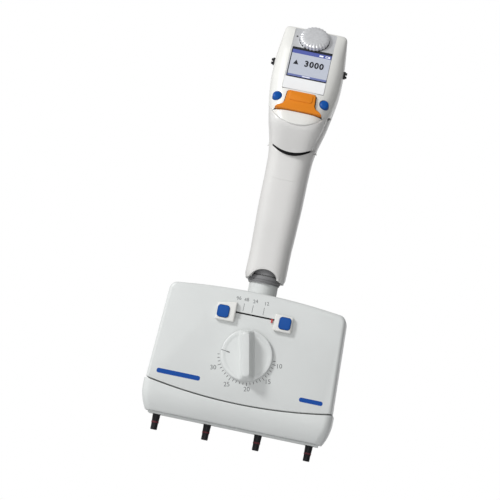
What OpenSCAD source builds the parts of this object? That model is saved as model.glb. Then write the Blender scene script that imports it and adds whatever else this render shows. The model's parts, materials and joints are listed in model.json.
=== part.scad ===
// Four-channel electronic pipette whose tip spacing is set by a knob on the manifold.
// Heights are measured from the knob's axis. lift() then moves every piece so that the
// origin lies between the two stand lugs on the head. The front faces -Y and +Z is up.

/* [Channels] */
// Tip spacing at the widest knob setting, which is the resting state
pitch_max = 33; // [31:0.5:33]
// Travel of the pistons for a full volume
piston_stroke = 15.3; // [8:0.1:15.3]
// Radius of a piston
piston_r = 2.5; // [2:0.1:2.6]
// Outer radius of a cylinder
cylinder_r = 4; // [3.8:0.1:4]
// Radius of the straight land that a disposable tip seals on
tip_land_r = 2.15; // [1.8:0.05:2.3]

/* [Manifold] */
// Width of the manifold at its top corners
plate_top_w = 114; // [112:1:118]
// Width of the manifold at its widest line
plate_low_w = 120; // [118:1:124]
// Front face of the manifold, behind the knob
front_y = -19; // [-20:0.5:-18.5]
// Rear face of the manifold
rear_y = 15; // [15:0.5:18]
// Wall thickness of the manifold covers
wall = 2.2; // [1.6:0.1:2.2]

/* [Spread drive] */
// Module of the pinion and rack teeth
gear_module = 0.8; // [0.8]
// Pressure angle of the teeth
pressure_angle = 25; // [25]
// Amount taken off each flank so that the teeth run freely
flank_play = 0.04; // [0.03:0.01:0.06]
// Lean of the knob's grip bar from upright at rest
grip_lean = 11.7; // [0:0.1:15]
// Radius of the knob's disc
knob_r = 16.5; // [15:0.5:17]

/* [Handle] */
// Thickness of the handle's shells
shell_t = 2; // [1.6:0.1:2.2]
// Lean of the display face away from the user
face_tilt = 17.9; // [16:0.1:19]
// Lean of the dial's face away from the user
dial_tilt = 37.3; // [36:0.1:39]
// Radius of the selector dial
dial_r = 9.4; // [8:0.1:9.6]
// Travel of the ejector button
eject_travel = 7; // [4:0.5:7]

/* [Hidden] */
$fn = 64;
HULL_FN = 32;
EPS = 0.01;

// Heights above the knob's axis
lug_z = 189;
head_low_z = 149.5;
crease_z = 200.3;
head_top_z = 213.6;
shelf_z = 31;
shelf_t = 3.5;

// Manifold outline
seam_mid_z = -31;
seam_side_z = -25.5;
seam_gap = 0.6;
arch_mid_z = 40.5;
arch_drop = 3;
arch_half = 50;
corner_r = 5;
corner_z = 33;
edge_t = 0.8;
skirt_low_z = -45.5;
strip_t = 1.5;
fit_gap = 0.05;
free_gap = 0.4;

// Teeth
tooth_pitch = PI * gear_module;
addendum = 0.8 * gear_module;
dedendum = 1.05 * gear_module;
STAGE_TEETH = [30, 20, 10];
STAGE_FRONT = [-16.4, -12.4, -10.2];
STAGE_BACK = [-12.8, -10.6, -6.6];
knob_turn = 3;
shaft_r = 3;
rack_w = 1.7;
function pitch_r(teeth) = gear_module * teeth / 2;
outer_travel = pitch_r(STAGE_TEETH[0]) * knob_turn;
inner_travel = pitch_r(STAGE_TEETH[2]) * knob_turn;
flag_travel = pitch_r(STAGE_TEETH[1]) * knob_turn;

// Carriages, guide rods and drive bar
carriage_w = 8.6;
carriage_front = -5;
carriage_back = 9.8;
carriage_top = -16;
carriage_low = -34;
arm_top = -18;
arm_low = -24;
rod_r = 1.5;
rod_y = 7.2;
ROD_Z = [-19.5, -31];
rod_half = 56;
plate_front = -6.2;
plate_back = -4.8;
plate_low = -15.5;
side_plate_x = 55.2;
side_plate_half = 0.8;
bar_half = 54;
bar_d = 4.3;
bar_low = -6;
bar_top = 3;
post_x = 32;
post_y = 7;
post_r = 2;
piston_neck_r = 1.25;
piston_head_r = 2;
drive_rod_r = 2;
drive_head_r = 3;
cylinder_low = -42;
cylinder_top = -12;
nozzle_low = -57;
COVER_SCREWS = [[54, -8], [28, shelf_z + shelf_t / 2]];

// Neck and coupling
neck_front_r = 8.7;
neck_back_r = 9.3;
neck_back_y = 3.5;
neck_top = 47.7;
swivel_r = 8.2;

// Ejector
sleeve_r = 6.4;
sleeve_bore_r = 5;
sleeve_low = 26;
sleeve_top = 60.2;
strap_front = 10.4;
strap_back = 12.2;

// Spacing slot, stop blocks and the flag
slot_z = 25.7;
slot_h = 1;
slot_half = 22.5;
stop_rest = 18.2;
stop_w = 11.5;
stop_t = 3;
stop_neck_half = 2;
stop_lane_z = 21.3;
stop_lane_half = 0.5;
stop_key_w = 7.2;
stop_key_low = 21.05;
stop_key_high = 27.95;
flag_x = 11;
flag_half = 0.5;
flag_t = 0.7;

// Handle
split_y = 3;
recess_z = 133;
recess_y = -12;
button_split_y = -12.4;
mouth_r = 24.8;
mouth_z = head_low_z + mouth_r;
mouth_gap = 0.3;
thumb_curve_r = 23.5;
pushrod_y = -8.6;
collar_top = 70;
rod_top = 142;
screw_r = 3;
nut_r = 4.6;
screw_low = 80.5;
nut_low = 63;
nut_top = 87;
motor_low = nut_top + piston_stroke + 5.7;
motor_top = motor_low + 24;
motor_r = 7;
spring_low_z = 89;
spring_high_z = 104.2;
rod_collar_t = 1.2;
HANDLE_SCREW_X = [-5, 5];
HANDLE_SCREW_Z = [66, 128];

// Panel, keys and dial
panel_half = 13.4;
panel_low_z = 172;
screen_low_z = 179.8;
screen_high_z = 199.6;
key_z = 166.3;
key_x = 15.2;
key_r = 2.8;
rocker_z = 164;
rocker_pin_y = 4;
dial_z = 207;
dial_front = -3.4;

// Stand lugs
lug_half = 2.4;
lug_h = 4.4;
lug_root = 21.3;
lug_face = 23.6;
stud_r = 0.8;
stud_end = 24.6;

// Half-width, front and back of the handle at a few heights
GRIP_W = [[50, 13.1], [60, 13], [70, 12.9], [80, 13.3], [100, 13.9], [120, 13.9], [130, 14.2], [135, 14.9],
    [140, 15.8], [145, 17.1], [150, 18.5], [160, 20.3], [170, 21.9], [178, 22.6], [190, 22.5], [196, 22],
    [202, 21.3], [208, 20.6], [212, 19.6], [head_top_z, 17.8]];
GRIP_FRONT = [[50, -13], [80, -13], [110, -13.8], [131, -14.5], [recess_z, recess_y], [162, recess_y]];
HEAD_BACK = [[50, 15], [90, 15], [120, 16], [150, 18], [180, 19.5], [200, 19], [208, 17.8], [212, 16.3],
    [head_top_z, 14.2]];
THUMB_W = [[131, 12.4], [135, 13.2], [140, 14.2], [149, 17.2], [160, 19.3]];
THUMB_FRONT = [[131, -18], [136, -20.6], [142, -23.6], [149, -26.4], [160, -23.3]];
GRIP_Z = [50, 55, 60, 70, 80, 90, 100, 110, 120, 126, 131, 133, 137, 141, 145, 150, 155, 161];
HEAD_Z = [149, 155, 160, 165, 170, 175, 180, 185, 190, 195, crease_z, 202, 205, 208, 210, 212,
    head_top_z];
THUMB_Z = [131, 133.5, 136, 139, 142, 145.5, 149, 154, 160];

CHANNELS = [1, 2, 3, 4];
SIDES = ["left", "right"];

WHITE = [0.83, 0.84, 0.83];
BEZEL = [0.9, 0.9, 0.88];
GREY = [0.5, 0.5, 0.51];
DARK = [0.08, 0.08, 0.09];
BLUE = [0.08, 0.31, 0.63];
ORANGE = [0.88, 0.53, 0.14];
STEEL = [0.75, 0.76, 0.78];
SILVER = [0.72, 0.73, 0.75];
RED = [0.75, 0.1, 0.1];
SEAL = [0.42, 0.09, 0.12];
NUT = [0.9, 0.88, 0.8];
GLASS = [0.8, 0.83, 0.88];
CYLINDER = [0.85, 0.86, 0.88];
BOARD = [0.1, 0.35, 0.2];
WRAP = [0.2, 0.35, 0.6];

// ---- Placing ----

module lift() translate([0, 0, -lug_z]) children();

// An outline drawn in X and Z, filled between two depths
module slab(y0, y1) translate([0, y1, 0]) rotate([90, 0, 0]) linear_extrude(y1 - y0) children();

// An outline drawn in Y and Z, filled between two widths
module side_slab(x0, x1) translate([x0, 0, 0]) rotate([90, 0, 90]) linear_extrude(x1 - x0) children();

// A box given by its lowest and highest corners
module block(low, high) translate(low) cube(high - low);

// A box whose two sides stand half a width from the middle
module slab_box(half, y0, y1, z0, z1) block([-half, y0, z0], [half, y1, z1]);

// A cylinder that runs along Y between two depths
module pin_y(r, y0, y1) translate([0, y1, 0]) rotate([90, 0, 0]) cylinder(r = r, h = y1 - y0);

// A cylinder that runs along X between two widths
module pin_x(r, x0, x1) translate([x0, 0, 0]) rotate([0, 90, 0]) cylinder(r = r, h = x1 - x0);

// An upright cylinder between two heights
module pin_z(r, z0, z1) translate([0, 0, z0]) cylinder(r = r, h = z1 - z0);

function arc(cx, cz, r, a0, a1, n) = [for (i = [0:n]) let (a = a0 + (a1 - a0) * i / n)
    [cx + r * cos(a), cz + r * sin(a)]];
function mirrored(points) = [for (i = [len(points) - 1:-1:0]) [-points[i][0], points[i][1]]];

// ---- Manifold outlines ----

function plate_half(z) = let (flare = (plate_low_w - plate_top_w) / 2)
    plate_top_w / 2 + flare * (corner_z - z) / (corner_z - seam_side_z);
function arch_z(x) = arch_mid_z - arch_drop * pow(x / arch_half, 2);
function seam_z(x) = seam_mid_z + (seam_side_z - seam_mid_z) * pow(2 * x / plate_low_w, 2);

// The right half of the outline runs up the side, round the corner and along the arched top
function plate_right(inset) = let (cx = plate_half(corner_z) - corner_r, cz = arch_z(cx) - corner_r) concat(
    [[plate_half(seam_side_z) - inset, seam_side_z]],
    arc(cx, cz, corner_r - inset, 3, 84, 6),
    [for (x = [cx - 3:-cx / 8:1]) [x, arch_z(x) - inset]]
);
function seam_curve(drop) = [for (i = [-12:12]) let (x = i * plate_low_w / 24) [x, seam_z(x) - drop]];

module plate_outline(inset, open_low = false) polygon(concat(
    open_low ? [for (side = [-1, 1]) [side * (plate_half(seam_side_z) - inset), skirt_low_z]]
        : [for (p = seam_curve(0)) if (abs(p[0]) < plate_low_w / 2 - 2) p],
    plate_right(inset),
    mirrored(plate_right(inset))
));

// The skirt widens a little below the seam and then curves in to its lower edge
function skirt_side(inset) = let (top = seam_side_z - seam_gap) [for (i = [0:6]) let (t = i / 6)
    [plate_low_w / 2 + 1 - 4 * pow(max(0, t - 0.2) / 0.8, 2) - inset, top - t * (top - skirt_low_z)]];

module skirt_outline(inset) polygon(concat(
    skirt_side(inset),
    mirrored(skirt_side(inset)),
    inset > 0 ? [[-plate_low_w / 2, 0], [plate_low_w / 2, 0]]
        : [for (p = seam_curve(seam_gap)) if (abs(p[0]) < plate_low_w / 2) p]
));

// ---- Teeth ----

function involute(a) = tan(a) * 180 / PI - a;
function base_r(teeth) = pitch_r(teeth) * cos(pressure_angle);

// Half the angle that a tooth covers at radius r
function tooth_half(teeth, r) = 90 / teeth - flank_play / pitch_r(teeth) * 180 / PI + involute(pressure_angle)
    - (r > base_r(teeth) ? involute(acos(base_r(teeth) / r)) : 0);
function flank_radii(teeth) = let (low = pitch_r(teeth) - dedendum, high = pitch_r(teeth) + addendum,
    start = max(low, base_r(teeth))) concat(
    start > low ? [low] : [], [for (i = [0:4]) start + (high - start) * i / 4]);
function tooth_points(teeth, middle) = let (radii = flank_radii(teeth), last = len(radii) - 1) concat(
    [for (i = [0:last]) let (a = middle - tooth_half(teeth, radii[i])) radii[i] * [cos(a), sin(a)]],
    [for (i = [last:-1:0]) let (a = middle + tooth_half(teeth, radii[i])) radii[i] * [cos(a), sin(a)]]
);
module gear_outline(teeth) polygon(
    [for (k = [0:teeth - 1], p = tooth_points(teeth, 90 + k * 360 / teeth)) p]
);

// A rack above its pinion. Its teeth point down and it has a gap above the pinion's axis at rest.
rack_half = tooth_pitch / 4 - flank_play;
function rack_teeth(teeth, first, last) = [
    for (k = [first:last], side = [-1, 1], deep = side < 0 ? [1, 0] : [0, 1])
        let (middle = (k + 0.5) * tooth_pitch, height = deep ? dedendum : -addendum)
        [middle + side * (rack_half + height * tan(pressure_angle)), pitch_r(teeth) + height]
];
module rack_outline(teeth, first, last, top) let (r = pitch_r(teeth)) polygon(concat(
    [[first * tooth_pitch, top], [first * tooth_pitch, r + dedendum]],
    rack_teeth(teeth, first, last - 1),
    [[last * tooth_pitch, r + dedendum], [last * tooth_pitch, top]]
));

// Rack teeth needed on each side of the pinion for a given travel
function reach(travel) = ceil((travel + 4) / tooth_pitch);

// ---- Manifold covers ----

module front_cover() color(WHITE) lift() difference() {
    union() {
        slab(front_y, front_y + edge_t) plate_outline(edge_t);
        slab(front_y + edge_t, 0) plate_outline(0);
    }
    slab(front_y + wall, EPS) plate_outline(wall, open_low = true);
    pin_y(5 + fit_gap, front_y - 1, 0);
    slab_box(slot_half, front_y - 1, 0, slot_z - slot_h / 2, slot_z + slot_h / 2);
    slab_box(14.5, front_y - 1, front_y + 0.8, slot_z - 3.7, slot_z);
    for (side = [-1, 1]) translate([side * 12.5, 0, stop_lane_z])
        slab_box(8, front_y - 1, 0, -stop_lane_half, stop_lane_half);
    pin_z(neck_front_r + free_gap, 30, 60);
}

module rear_cover() color(WHITE) lift() difference() {
    union() {
        slab(0, rear_y - edge_t) plate_outline(0);
        slab(rear_y - edge_t, rear_y) plate_outline(edge_t);
    }
    slab(-EPS, rear_y - wall) plate_outline(wall, open_low = true);
    pin_z(neck_front_r + free_gap, 30, 60);
    translate([0, neck_back_y, 0]) pin_z(neck_back_r + free_gap, 30, 60);
    at_cover_screws() {
        pin_y(1.3, 0, rear_y + 1);
        pin_y(2.4, rear_y - 1.4, rear_y + 1);
    }
}

module at_cover_screws() for (side = [-1, 1], place = COVER_SCREWS)
    translate([side * place[0], 0, place[1]]) children();

module cover_screws() color(STEEL) lift() at_cover_screws() {
    pin_y(1.2, 5.5, rear_y - 1.3);
    difference() {
        pin_y(2.2, rear_y - 1.4, rear_y - 0.2);
        slab(rear_y - 0.9, rear_y) circle(r = 1.1, $fn = 6);
    }
}

// ---- Frame of the manifold ----

module chassis() color(GREY) lift() difference() {
    union() {
        block([-54, plate_front, plate_low], [54, plate_back, shelf_z + shelf_t]);
        block([-36, plate_back, shelf_z], [36, 10, shelf_z + shelf_t]);
        pin_y(6, plate_front, -4.6);
        for (side = [-1, 1]) {
            translate([side * side_plate_x, 0, 0]) slab_box(side_plate_half, plate_front, 10, -36, 0);
            translate([side * side_plate_x, 0, COVER_SCREWS[0][1]])
                slab_box(side_plate_half, 9, rear_y - wall - 0.1, -3, 3);
            translate([side * COVER_SCREWS[0][0], 0, COVER_SCREWS[0][1]])
                slab_box(1.8, carriage_back + 0.1, rear_y - wall - 0.1, -3, 3);
            translate([side * 54.4, 0, 0]) slab_box(0.6, plate_front, plate_back, plate_low, 0);
            translate([side * post_x, post_y, 0]) pin_z(post_r, -8, shelf_z + EPS);
        }
    }
    pin_y(shaft_r + fit_gap, plate_front - 1, -4);
    pin_z(sleeve_r + free_gap, sleeve_low - eject_travel - free_gap, 60);
    for (side = [-1, 1], z = ROD_Z) translate([0, rod_y, z])
        pin_x(rod_r, side * side_plate_x - 2, side * side_plate_x + 2);
    at_cover_screws() pin_y(1.2, 5, 20);
}

module guide_rods() color(STEEL) lift() for (z = ROD_Z) translate([0, rod_y, z])
    pin_x(rod_r, -rod_half, rod_half);

module neck_tube() color(WHITE) lift() difference() {
    union() {
        pin_z(neck_front_r, shelf_z + shelf_t, neck_top);
        translate([0, neck_back_y, 0]) pin_z(neck_back_r, shelf_z + shelf_t, neck_top);
        slab_box(neck_front_r, 0, neck_back_y, shelf_z + shelf_t, neck_top);
        pin_z(swivel_r, neck_top - 0.7, 60);
    }
    pin_z(sleeve_r + 0.2, 30, 61);
}

module coupling_ring() color(GREY) lift() translate([0, 0, neck_top]) rotate_extrude()
    polygon([[swivel_r, 0], [10, 0], [10, 0.7], [10.5, 0.7], [10.5, 1.8], [10, 1.8],
        [10, 2.4], [10.5, 2.4], [10.5, 4.7], [swivel_r, 4.7]]);

// ---- Spread drive ----

module pinion_shaft() color(STEEL) lift() union() {
    for (i = [0:2]) slab(STAGE_FRONT[i], STAGE_BACK[i]) gear_outline(STAGE_TEETH[i]);
    pin_y(shaft_r, front_y - 8, -4.7);
    for (i = [0:1])
        pin_y(pitch_r(STAGE_TEETH[i + 1]) - dedendum - 0.1, STAGE_BACK[i] - EPS, STAGE_FRONT[i + 1] + EPS);
}

// The knob's grip is a bar with sloping flanks, square to the index mark on the disc's left side
module spread_knob() color(WHITE) lift() difference() {
    union() {
        pin_y(5, front_y - 0.6, front_y + wall + 0.2);
        pin_y(knob_r, front_y - 2.6, front_y - 0.6);
        translate([0, front_y - 2.6, 0]) rotate([90, -grip_lean, 0]) hull() {
            for (end = [-1, 1]) translate([0, end * 12, 0]) cylinder(r = 3.75, h = 0.1, $fn = HULL_FN);
            for (end = [-1, 1]) translate([0, end * 12.2, 9]) cylinder(r = 2.2, h = 0.4, $fn = HULL_FN);
        }
    }
    pin_y(shaft_r, front_y - 8, 0);
}

// ---- Carriages ----

// The four channels stand at -1.5, -0.5, 0.5 and 1.5 spacings
function channel_x(n) = (n - 2.5) * pitch_max;

module carriage_block(n) let (x = channel_x(n)) difference() {
    translate([x, 0, 0]) slab_box(carriage_w / 2, carriage_front, carriage_back, carriage_low, carriage_top);
    translate([x, 0, 0]) pin_z(cylinder_r, carriage_low - 1, carriage_top + 1);
    for (z = ROD_Z) translate([0, rod_y, z]) pin_x(rod_r + fit_gap, x - 10, x + 10);
}

// An arm from the carriage forward to its rack, and up the side to the rack's height
module carriage_arm(n, y0, y1, up0, up1, up_z) let (x = channel_x(n)) {
    block([x - carriage_w / 2, y0, arm_low], [x + carriage_w / 2, carriage_front + EPS, arm_top]);
    block([up0, y0, arm_top - EPS], [up1, y1, up_z]);
}

outer_rack_r = pitch_r(STAGE_TEETH[0]) + dedendum;
inner_rack_r = pitch_r(STAGE_TEETH[2]) + dedendum;
outer_rack_top = 17.5;
inner_rack_top = 8;
flag_rack_top = 12;

module left_rack(teeth, travel, y0, y1, top) slab(y0, y1) mirror([1, 0]) mirror([0, 1])
    rack_outline(teeth, -2, reach(travel), top);
module right_rack(teeth, travel, y0, y1, top) slab(y0, y1) rack_outline(teeth, -2, reach(travel), top);

module carriage_1() color(GREY) lift() let (x = channel_x(1), y0 = STAGE_FRONT[0], y1 = y0 + rack_w) {
    carriage_block(1);
    carriage_arm(1, y0, y1, x - carriage_w / 2, x + carriage_w / 2, -outer_rack_r);
    block([x, y0, -outer_rack_top], [-reach(outer_travel) * tooth_pitch + 1, y1, -outer_rack_r]);
    left_rack(STAGE_TEETH[0], outer_travel, y0, y1, outer_rack_top);
}

module carriage_2() color(GREY) lift() let (x = channel_x(2), y0 = STAGE_FRONT[2], y1 = y0 + rack_w) {
    carriage_block(2);
    carriage_arm(2, y0, y1, x - carriage_w / 2, x + carriage_w / 2, -inner_rack_r);
    left_rack(STAGE_TEETH[2], inner_travel, y0, y1, inner_rack_top);
}

module carriage_3() color(GREY) lift() let (x = channel_x(3), y1 = STAGE_BACK[2], y0 = y1 - rack_w) {
    carriage_block(3);
    carriage_arm(3, y0, y1, x + 2, x + 4, inner_rack_top);
    block([x - carriage_w / 2, y0, inner_rack_r], [x + 4, y1, inner_rack_top]);
    right_rack(STAGE_TEETH[2], inner_travel, y0, y1, inner_rack_top);
}

module carriage_4() color(GREY) lift() let (x = channel_x(4), y1 = STAGE_BACK[0], y0 = y1 - rack_w) {
    carriage_block(4);
    carriage_arm(4, y0, y1, x + 1.3, x + carriage_w / 2, outer_rack_top);
    block([35, y0, outer_rack_r], [x + carriage_w / 2, y1, outer_rack_top]);
    right_rack(STAGE_TEETH[0], outer_travel, y0, y1, outer_rack_top);
}

// The flag hooks through the slot and points down into the recess
module indicator_slide() color(RED) lift() {
    slab(STAGE_FRONT[1], STAGE_BACK[1]) rack_outline(STAGE_TEETH[1], -2, reach(flag_travel), flag_rack_top);
    translate([flag_x, 0, 0]) {
        slab_box(2, STAGE_FRONT[1], STAGE_BACK[1], flag_rack_top - EPS, slot_z + flag_t / 2);
        slab_box(flag_half, front_y, STAGE_BACK[1], slot_z - flag_t / 2, slot_z + flag_t / 2);
        slab_box(flag_half, front_y, front_y + flag_t, slot_z - 2.2, slot_z + flag_t / 2);
    }
}

// ---- Stop blocks ----

module stop_outline() polygon(
    [[-stop_w / 2, 19.5], [stop_w / 2, 19.5], [stop_w / 2, 32], [-stop_w / 2, 29.5]]
);

// The left block at rest. Its neck passes the lane slot and carries a plate behind the cover.
module stop_block_shape() difference() {
    union() {
        translate([-stop_rest, 0, 0]) slab(front_y - stop_t, front_y - 0.15) stop_outline();
        translate([-stop_rest + 0.2, 0, stop_lane_z]) {
            slab_box(stop_neck_half, front_y - 1.5, front_y + wall + 0.4, -0.45, 0.45);
            slab_box(3.7, front_y + wall + 0.2, front_y + wall + 1.2, -2, 2);
        }
    }
    translate([-stop_rest - 1.4, 0, 0])
        slab_box(stop_key_w / 2 + 0.1, front_y - 4, front_y - 1.2, stop_key_low - 0.15, stop_key_high + 0.15);
}
module stop_key_shape() translate([-stop_rest - 1.4, 0, 0])
    slab_box(stop_key_w / 2 - 0.2, front_y - 3.9, front_y - 2.4, stop_key_low + 0.15, stop_key_high - 0.15);

module stop_block_left() color(WHITE) lift() stop_block_shape();
module stop_block_right() color(WHITE) lift() mirror([1, 0, 0]) stop_block_shape();
module stop_button_left() color(BLUE) lift() stop_key_shape();
module stop_button_right() color(BLUE) lift() mirror([1, 0, 0]) stop_key_shape();

// ---- Drive bar, cylinders, pistons and nozzles ----

module drive_bar() color(GREY) lift() difference() {
    union() {
        block([-bar_half, -bar_d, bar_low], [bar_half, bar_d, bar_top]);
        for (side = [-1, 1]) translate([side * post_x, 0, 0])
            slab_box(4.5, bar_d - EPS, 10, bar_low, bar_top);
    }
    for (side = [-1, 1]) translate([side * post_x, post_y, 0])
        pin_z(post_r + fit_gap, bar_low - 1, bar_top + 1);
    side_slab(-60, 60) t_slot(piston_neck_r, piston_head_r, bar_low, 1.6);
    side_slab(-60, 60) mirror([0, 1]) t_slot(drive_rod_r, drive_head_r, -bar_top, 1.6);
}

// A slot with a wider pocket behind its mouth, which holds the head of a rod
module t_slot(neck, head, mouth_z, head_h) {
    translate([-neck - 0.1, mouth_z - 1]) square([2 * neck + 0.2, 3]);
    translate([-head - 0.1, mouth_z + 1.4]) square([2 * head + 0.2, head_h + 0.2]);
}

module cylinder_body(n) color(CYLINDER) lift() translate([channel_x(n), 0, 0]) difference() {
    union() {
        pin_z(cylinder_r, cylinder_low, cylinder_top);
        pin_z(3.2, cylinder_low - 1, cylinder_low + EPS);
    }
    pin_z(piston_r + fit_gap, cylinder_low + 2, cylinder_top + 1);
    pin_z(0.8, cylinder_low - 2, cylinder_low + 3);
}

module piston(n) color(STEEL) lift() translate([channel_x(n), 0, 0]) {
    pin_z(piston_r, cylinder_low + 2.3, bar_low - 0.4);
    pin_z(piston_neck_r, bar_low - 0.5, bar_low + 1.6);
    pin_z(piston_head_r, bar_low + 1.5, bar_low + 2.9);
}

module nozzle(n) color(DARK) lift() translate([channel_x(n), 0, 0]) rotate_extrude() polygon([
    [0.6, nozzle_low], [tip_land_r - 0.25, nozzle_low],
    [tip_land_r, nozzle_low + 0.3], [tip_land_r, nozzle_low + 3.4],
    [2.25, nozzle_low + 4.3], [2, nozzle_low + 4.3], [2, nozzle_low + 5.5], [2.3, nozzle_low + 5.5],
    [2.5, nozzle_low + 10], [2.5, cylinder_low - 2.2], [4, cylinder_low - 2.2], [4, cylinder_low],
    [3.2, cylinder_low], [3.2, cylinder_low - 1], [0.6, cylinder_low - 1]]);

module nozzle_ring(n) color(SEAL) lift() translate([channel_x(n), 0, nozzle_low + 4.9])
    rotate_extrude() translate([2.2, 0]) square([0.4, 1], center = true);

// ---- Ejector ----

module ejector_cover() color(WHITE) lift() difference() {
    slab(front_y, rear_y) skirt_outline(0);
    slab(front_y + 1.8, rear_y - 1.6) intersection() {
        skirt_outline(1.8);
        translate([-70, skirt_low_z + 1.5]) square([140, 60]);
    }
    slab_box(54.5, -4.6, 4.6, skirt_low_z - 1, skirt_low_z + 2);
}

module ejector_strip() color(GREY) lift() difference() {
    slab_box(55, -7, 7, skirt_low_z - strip_t, skirt_low_z);
    slab_box(52.6, -2.9, 2.9, skirt_low_z - 3, skirt_low_z + 1);
}

module ejector_yoke() color(DARK) lift() union() {
    difference() {
        union() {
            pin_z(sleeve_r, sleeve_low, sleeve_top);
            block([-6, 0, sleeve_low], [6, strap_back, shelf_z - 0.6]);
        }
        pin_z(sleeve_bore_r, sleeve_low - 1, sleeve_top + 1);
    }
    block([-6, strap_front, -37], [6, strap_back, shelf_z - 0.6]);
    block([-6, strap_front, -37], [6, rear_y - 1.6, -34.5]);
}

// ---- Shells of the handle ----

SECTION_N = 18;
// How square the sections are: 2 is an ellipse
SQUARENESS = [[50, 2.8], [130, 2.8], [160, 3.8], [212, 3.8]];
function power(v, z) = pow(abs(v), 2 / lookup(z, SQUARENESS)) * sign(v);

// Front of the head at a height: the display's slope, then the dial's steeper one
function head_front(z) = z < crease_z
    ? -27 + (z - head_low_z) * tan(face_tilt)
    : -27 + (crease_z - head_low_z) * tan(face_tilt) + (z - crease_z) * tan(dial_tilt);

// Half of a rounded section between the split plane and the surface at depth y, counter-clockwise.
// An inner section runs a little past the split so that the shell is open there.
function half_section(z, half, y, split, past) = let (side = sign(y - split), points = concat(
    past > 0 ? [[half, split - side * past]] : [],
    [for (i = [0:SECTION_N]) let (a = 180 * i / SECTION_N)
        [half * power(cos(a), z), split + (y - split) * power(sin(a), z)]],
    past > 0 ? [[-half, split - side * past]] : []
)) side > 0 ? points : [for (i = [len(points) - 1:-1:0]) points[i]];

// A closed solid through one section at each height
module loft(heights, sections) {
    n = len(sections[0]);
    last = len(heights) - 1;
    polyhedron(
        [for (i = [0:last], p = sections[i]) [p[0], p[1], heights[i]]],
        concat(
            [for (i = [0:last - 1], j = [0:n - 1], first = [true, false])
                let (a = i * n + j, b = i * n + (j + 1) % n) first ? [a, a + n, b + n] : [a, b + n, b]],
            [[for (j = [0:n - 1]) j], [for (j = [0:n - 1]) last * n + n - 1 - j]]
        )
    );
}

// Shells: an outer loft less an inner one that stands a wall's thickness inside it
module grip_front_loft(inset) loft(inset > 0 ? concat([40], GRIP_Z, [170]) : GRIP_Z,
    [for (z = inset > 0 ? concat([50], GRIP_Z, [161]) : GRIP_Z)
        half_section(z, lookup(z, GRIP_W) - inset, lookup(z, GRIP_FRONT) + inset, split_y, inset)]);

// The heights of a shell's inner loft run past its open low end and stop under the head's top
function inner_heights(low, heights, inset) = let (top = head_top_z - inset)
    inset > 0 ? concat([low], [for (z = heights) if (z < top - 0.5) z], [top]) : heights;

BACK_Z = concat([for (z = GRIP_Z) if (z < 150) z], [for (z = HEAD_Z) if (z > 149) z]);
module back_loft(inset) let (heights = inner_heights(40, BACK_Z, inset))
    loft(heights, [for (z = heights)
        half_section(z, lookup(z, GRIP_W) - inset, lookup(z, HEAD_BACK) - inset, split_y, inset)]);

module head_front_loft(inset) let (heights = inner_heights(140, HEAD_Z, inset))
    loft(heights, [for (z = heights) let (y = min(head_front(max(z, 149)) + inset, split_y - 0.2))
        half_section(z, lookup(z, GRIP_W) - inset, y, split_y, inset)]);

module thumb_loft(inset) let (heights = inset > 0 ? concat([125], THUMB_Z, [170]) : THUMB_Z)
    loft(heights, [for (z = heights)
        half_section(z, lookup(z, THUMB_W) - inset, lookup(z, THUMB_FRONT) + inset, button_split_y, inset)]);

// The head's lower edge is round when seen from the front
module head_side(grow) slab(-40, 40) {
    translate([0, mouth_z]) circle(r = mouth_r + grow);
    translate([-40, mouth_z]) square([80, 60]);
}

module grip_front_shell() color(WHITE) lift() difference() {
    grip_front_loft(0);
    grip_front_loft(shell_t);
    head_side(mouth_gap);
    translate([0, -14, 45.6]) rotate([90, 0, 0]) cylinder(r = 10.9, h = 20, center = true);
    block([-2.8, -20, 134], [2.8, -9, 148]);
}

module back_shell() color(WHITE) lift() difference() {
    back_loft(0);
    back_loft(shell_t);
    for (x = HANDLE_SCREW_X, z = HANDLE_SCREW_Z) translate([x, 0, z]) {
        pin_y(1.4, 5, 20);
        pin_y(2.5, lookup(z, HEAD_BACK) - 0.9, 20);
    }
}

module on_face(z) translate([0, head_front(z), z]) rotate([-face_tilt, 0, 0]) children();
module on_slope(z) translate([0, head_front(z), z]) rotate([-dial_tilt, 0, 0]) children();
function face_len(z0, z1) = (z1 - z0) / cos(face_tilt);
function slope_len(z0, z1) = (z1 - z0) / cos(dial_tilt);

module panel_outline(grow, y0, y1) {
    on_face(panel_low_z) slab_box(panel_half + grow, y0, y1, -grow, face_len(panel_low_z, crease_z));
    on_slope(crease_z) slab_box(panel_half + grow, y0, y1, -0.2, slope_len(crease_z, head_top_z) - 0.6);
}

// The right half of the rocker: a brim below and a crown above
HAT = [[15.2, -6.5], [13.6, -4.7], [10.6, -3.2], [9.7, -1.4], [9.2, 5.6], [8, 6.7]];
module hat_shape(grow) offset(delta = grow) polygon(concat(HAT, mirrored(HAT)));

module head_bezel() color(BEZEL) lift() difference() {
    intersection() {
        difference() {
            head_front_loft(0);
            head_front_loft(shell_t);
        }
        head_side(0);
    }
    panel_outline(0.1, -9, 3.4);
    for (side = [-1, 1]) translate([side * lug_face, 0, lug_z])
        slab_box(4, -lug_half - 0.1, lug_half + 0.1, -lug_h / 2 - 0.1, lug_h / 2 + 0.1);
    on_face(rocker_z) slab(-6, 12) hat_shape(0.5);
    for (side = [-1, 1]) on_face(key_z) translate([side * key_x, 0, 0]) pin_y(key_r + 0.3, -6, 12);
    on_slope(dial_z) pin_y(5.6, -5, 12);
}

module display_panel() color(SILVER) lift() difference() {
    panel_outline(0, 0.4, 1.1);
    on_face(panel_low_z)
        slab_box(12, -1, 3, face_len(panel_low_z, screen_low_z + 0.6), face_len(panel_low_z, screen_high_z));
    on_slope(dial_z) pin_y(5.3, -5, 12);
}

module display_screen() color(GLASS) lift() on_face(panel_low_z)
    slab_box(12.8, 1.15, 2.6, face_len(panel_low_z, screen_low_z), face_len(panel_low_z, screen_high_z));

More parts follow.
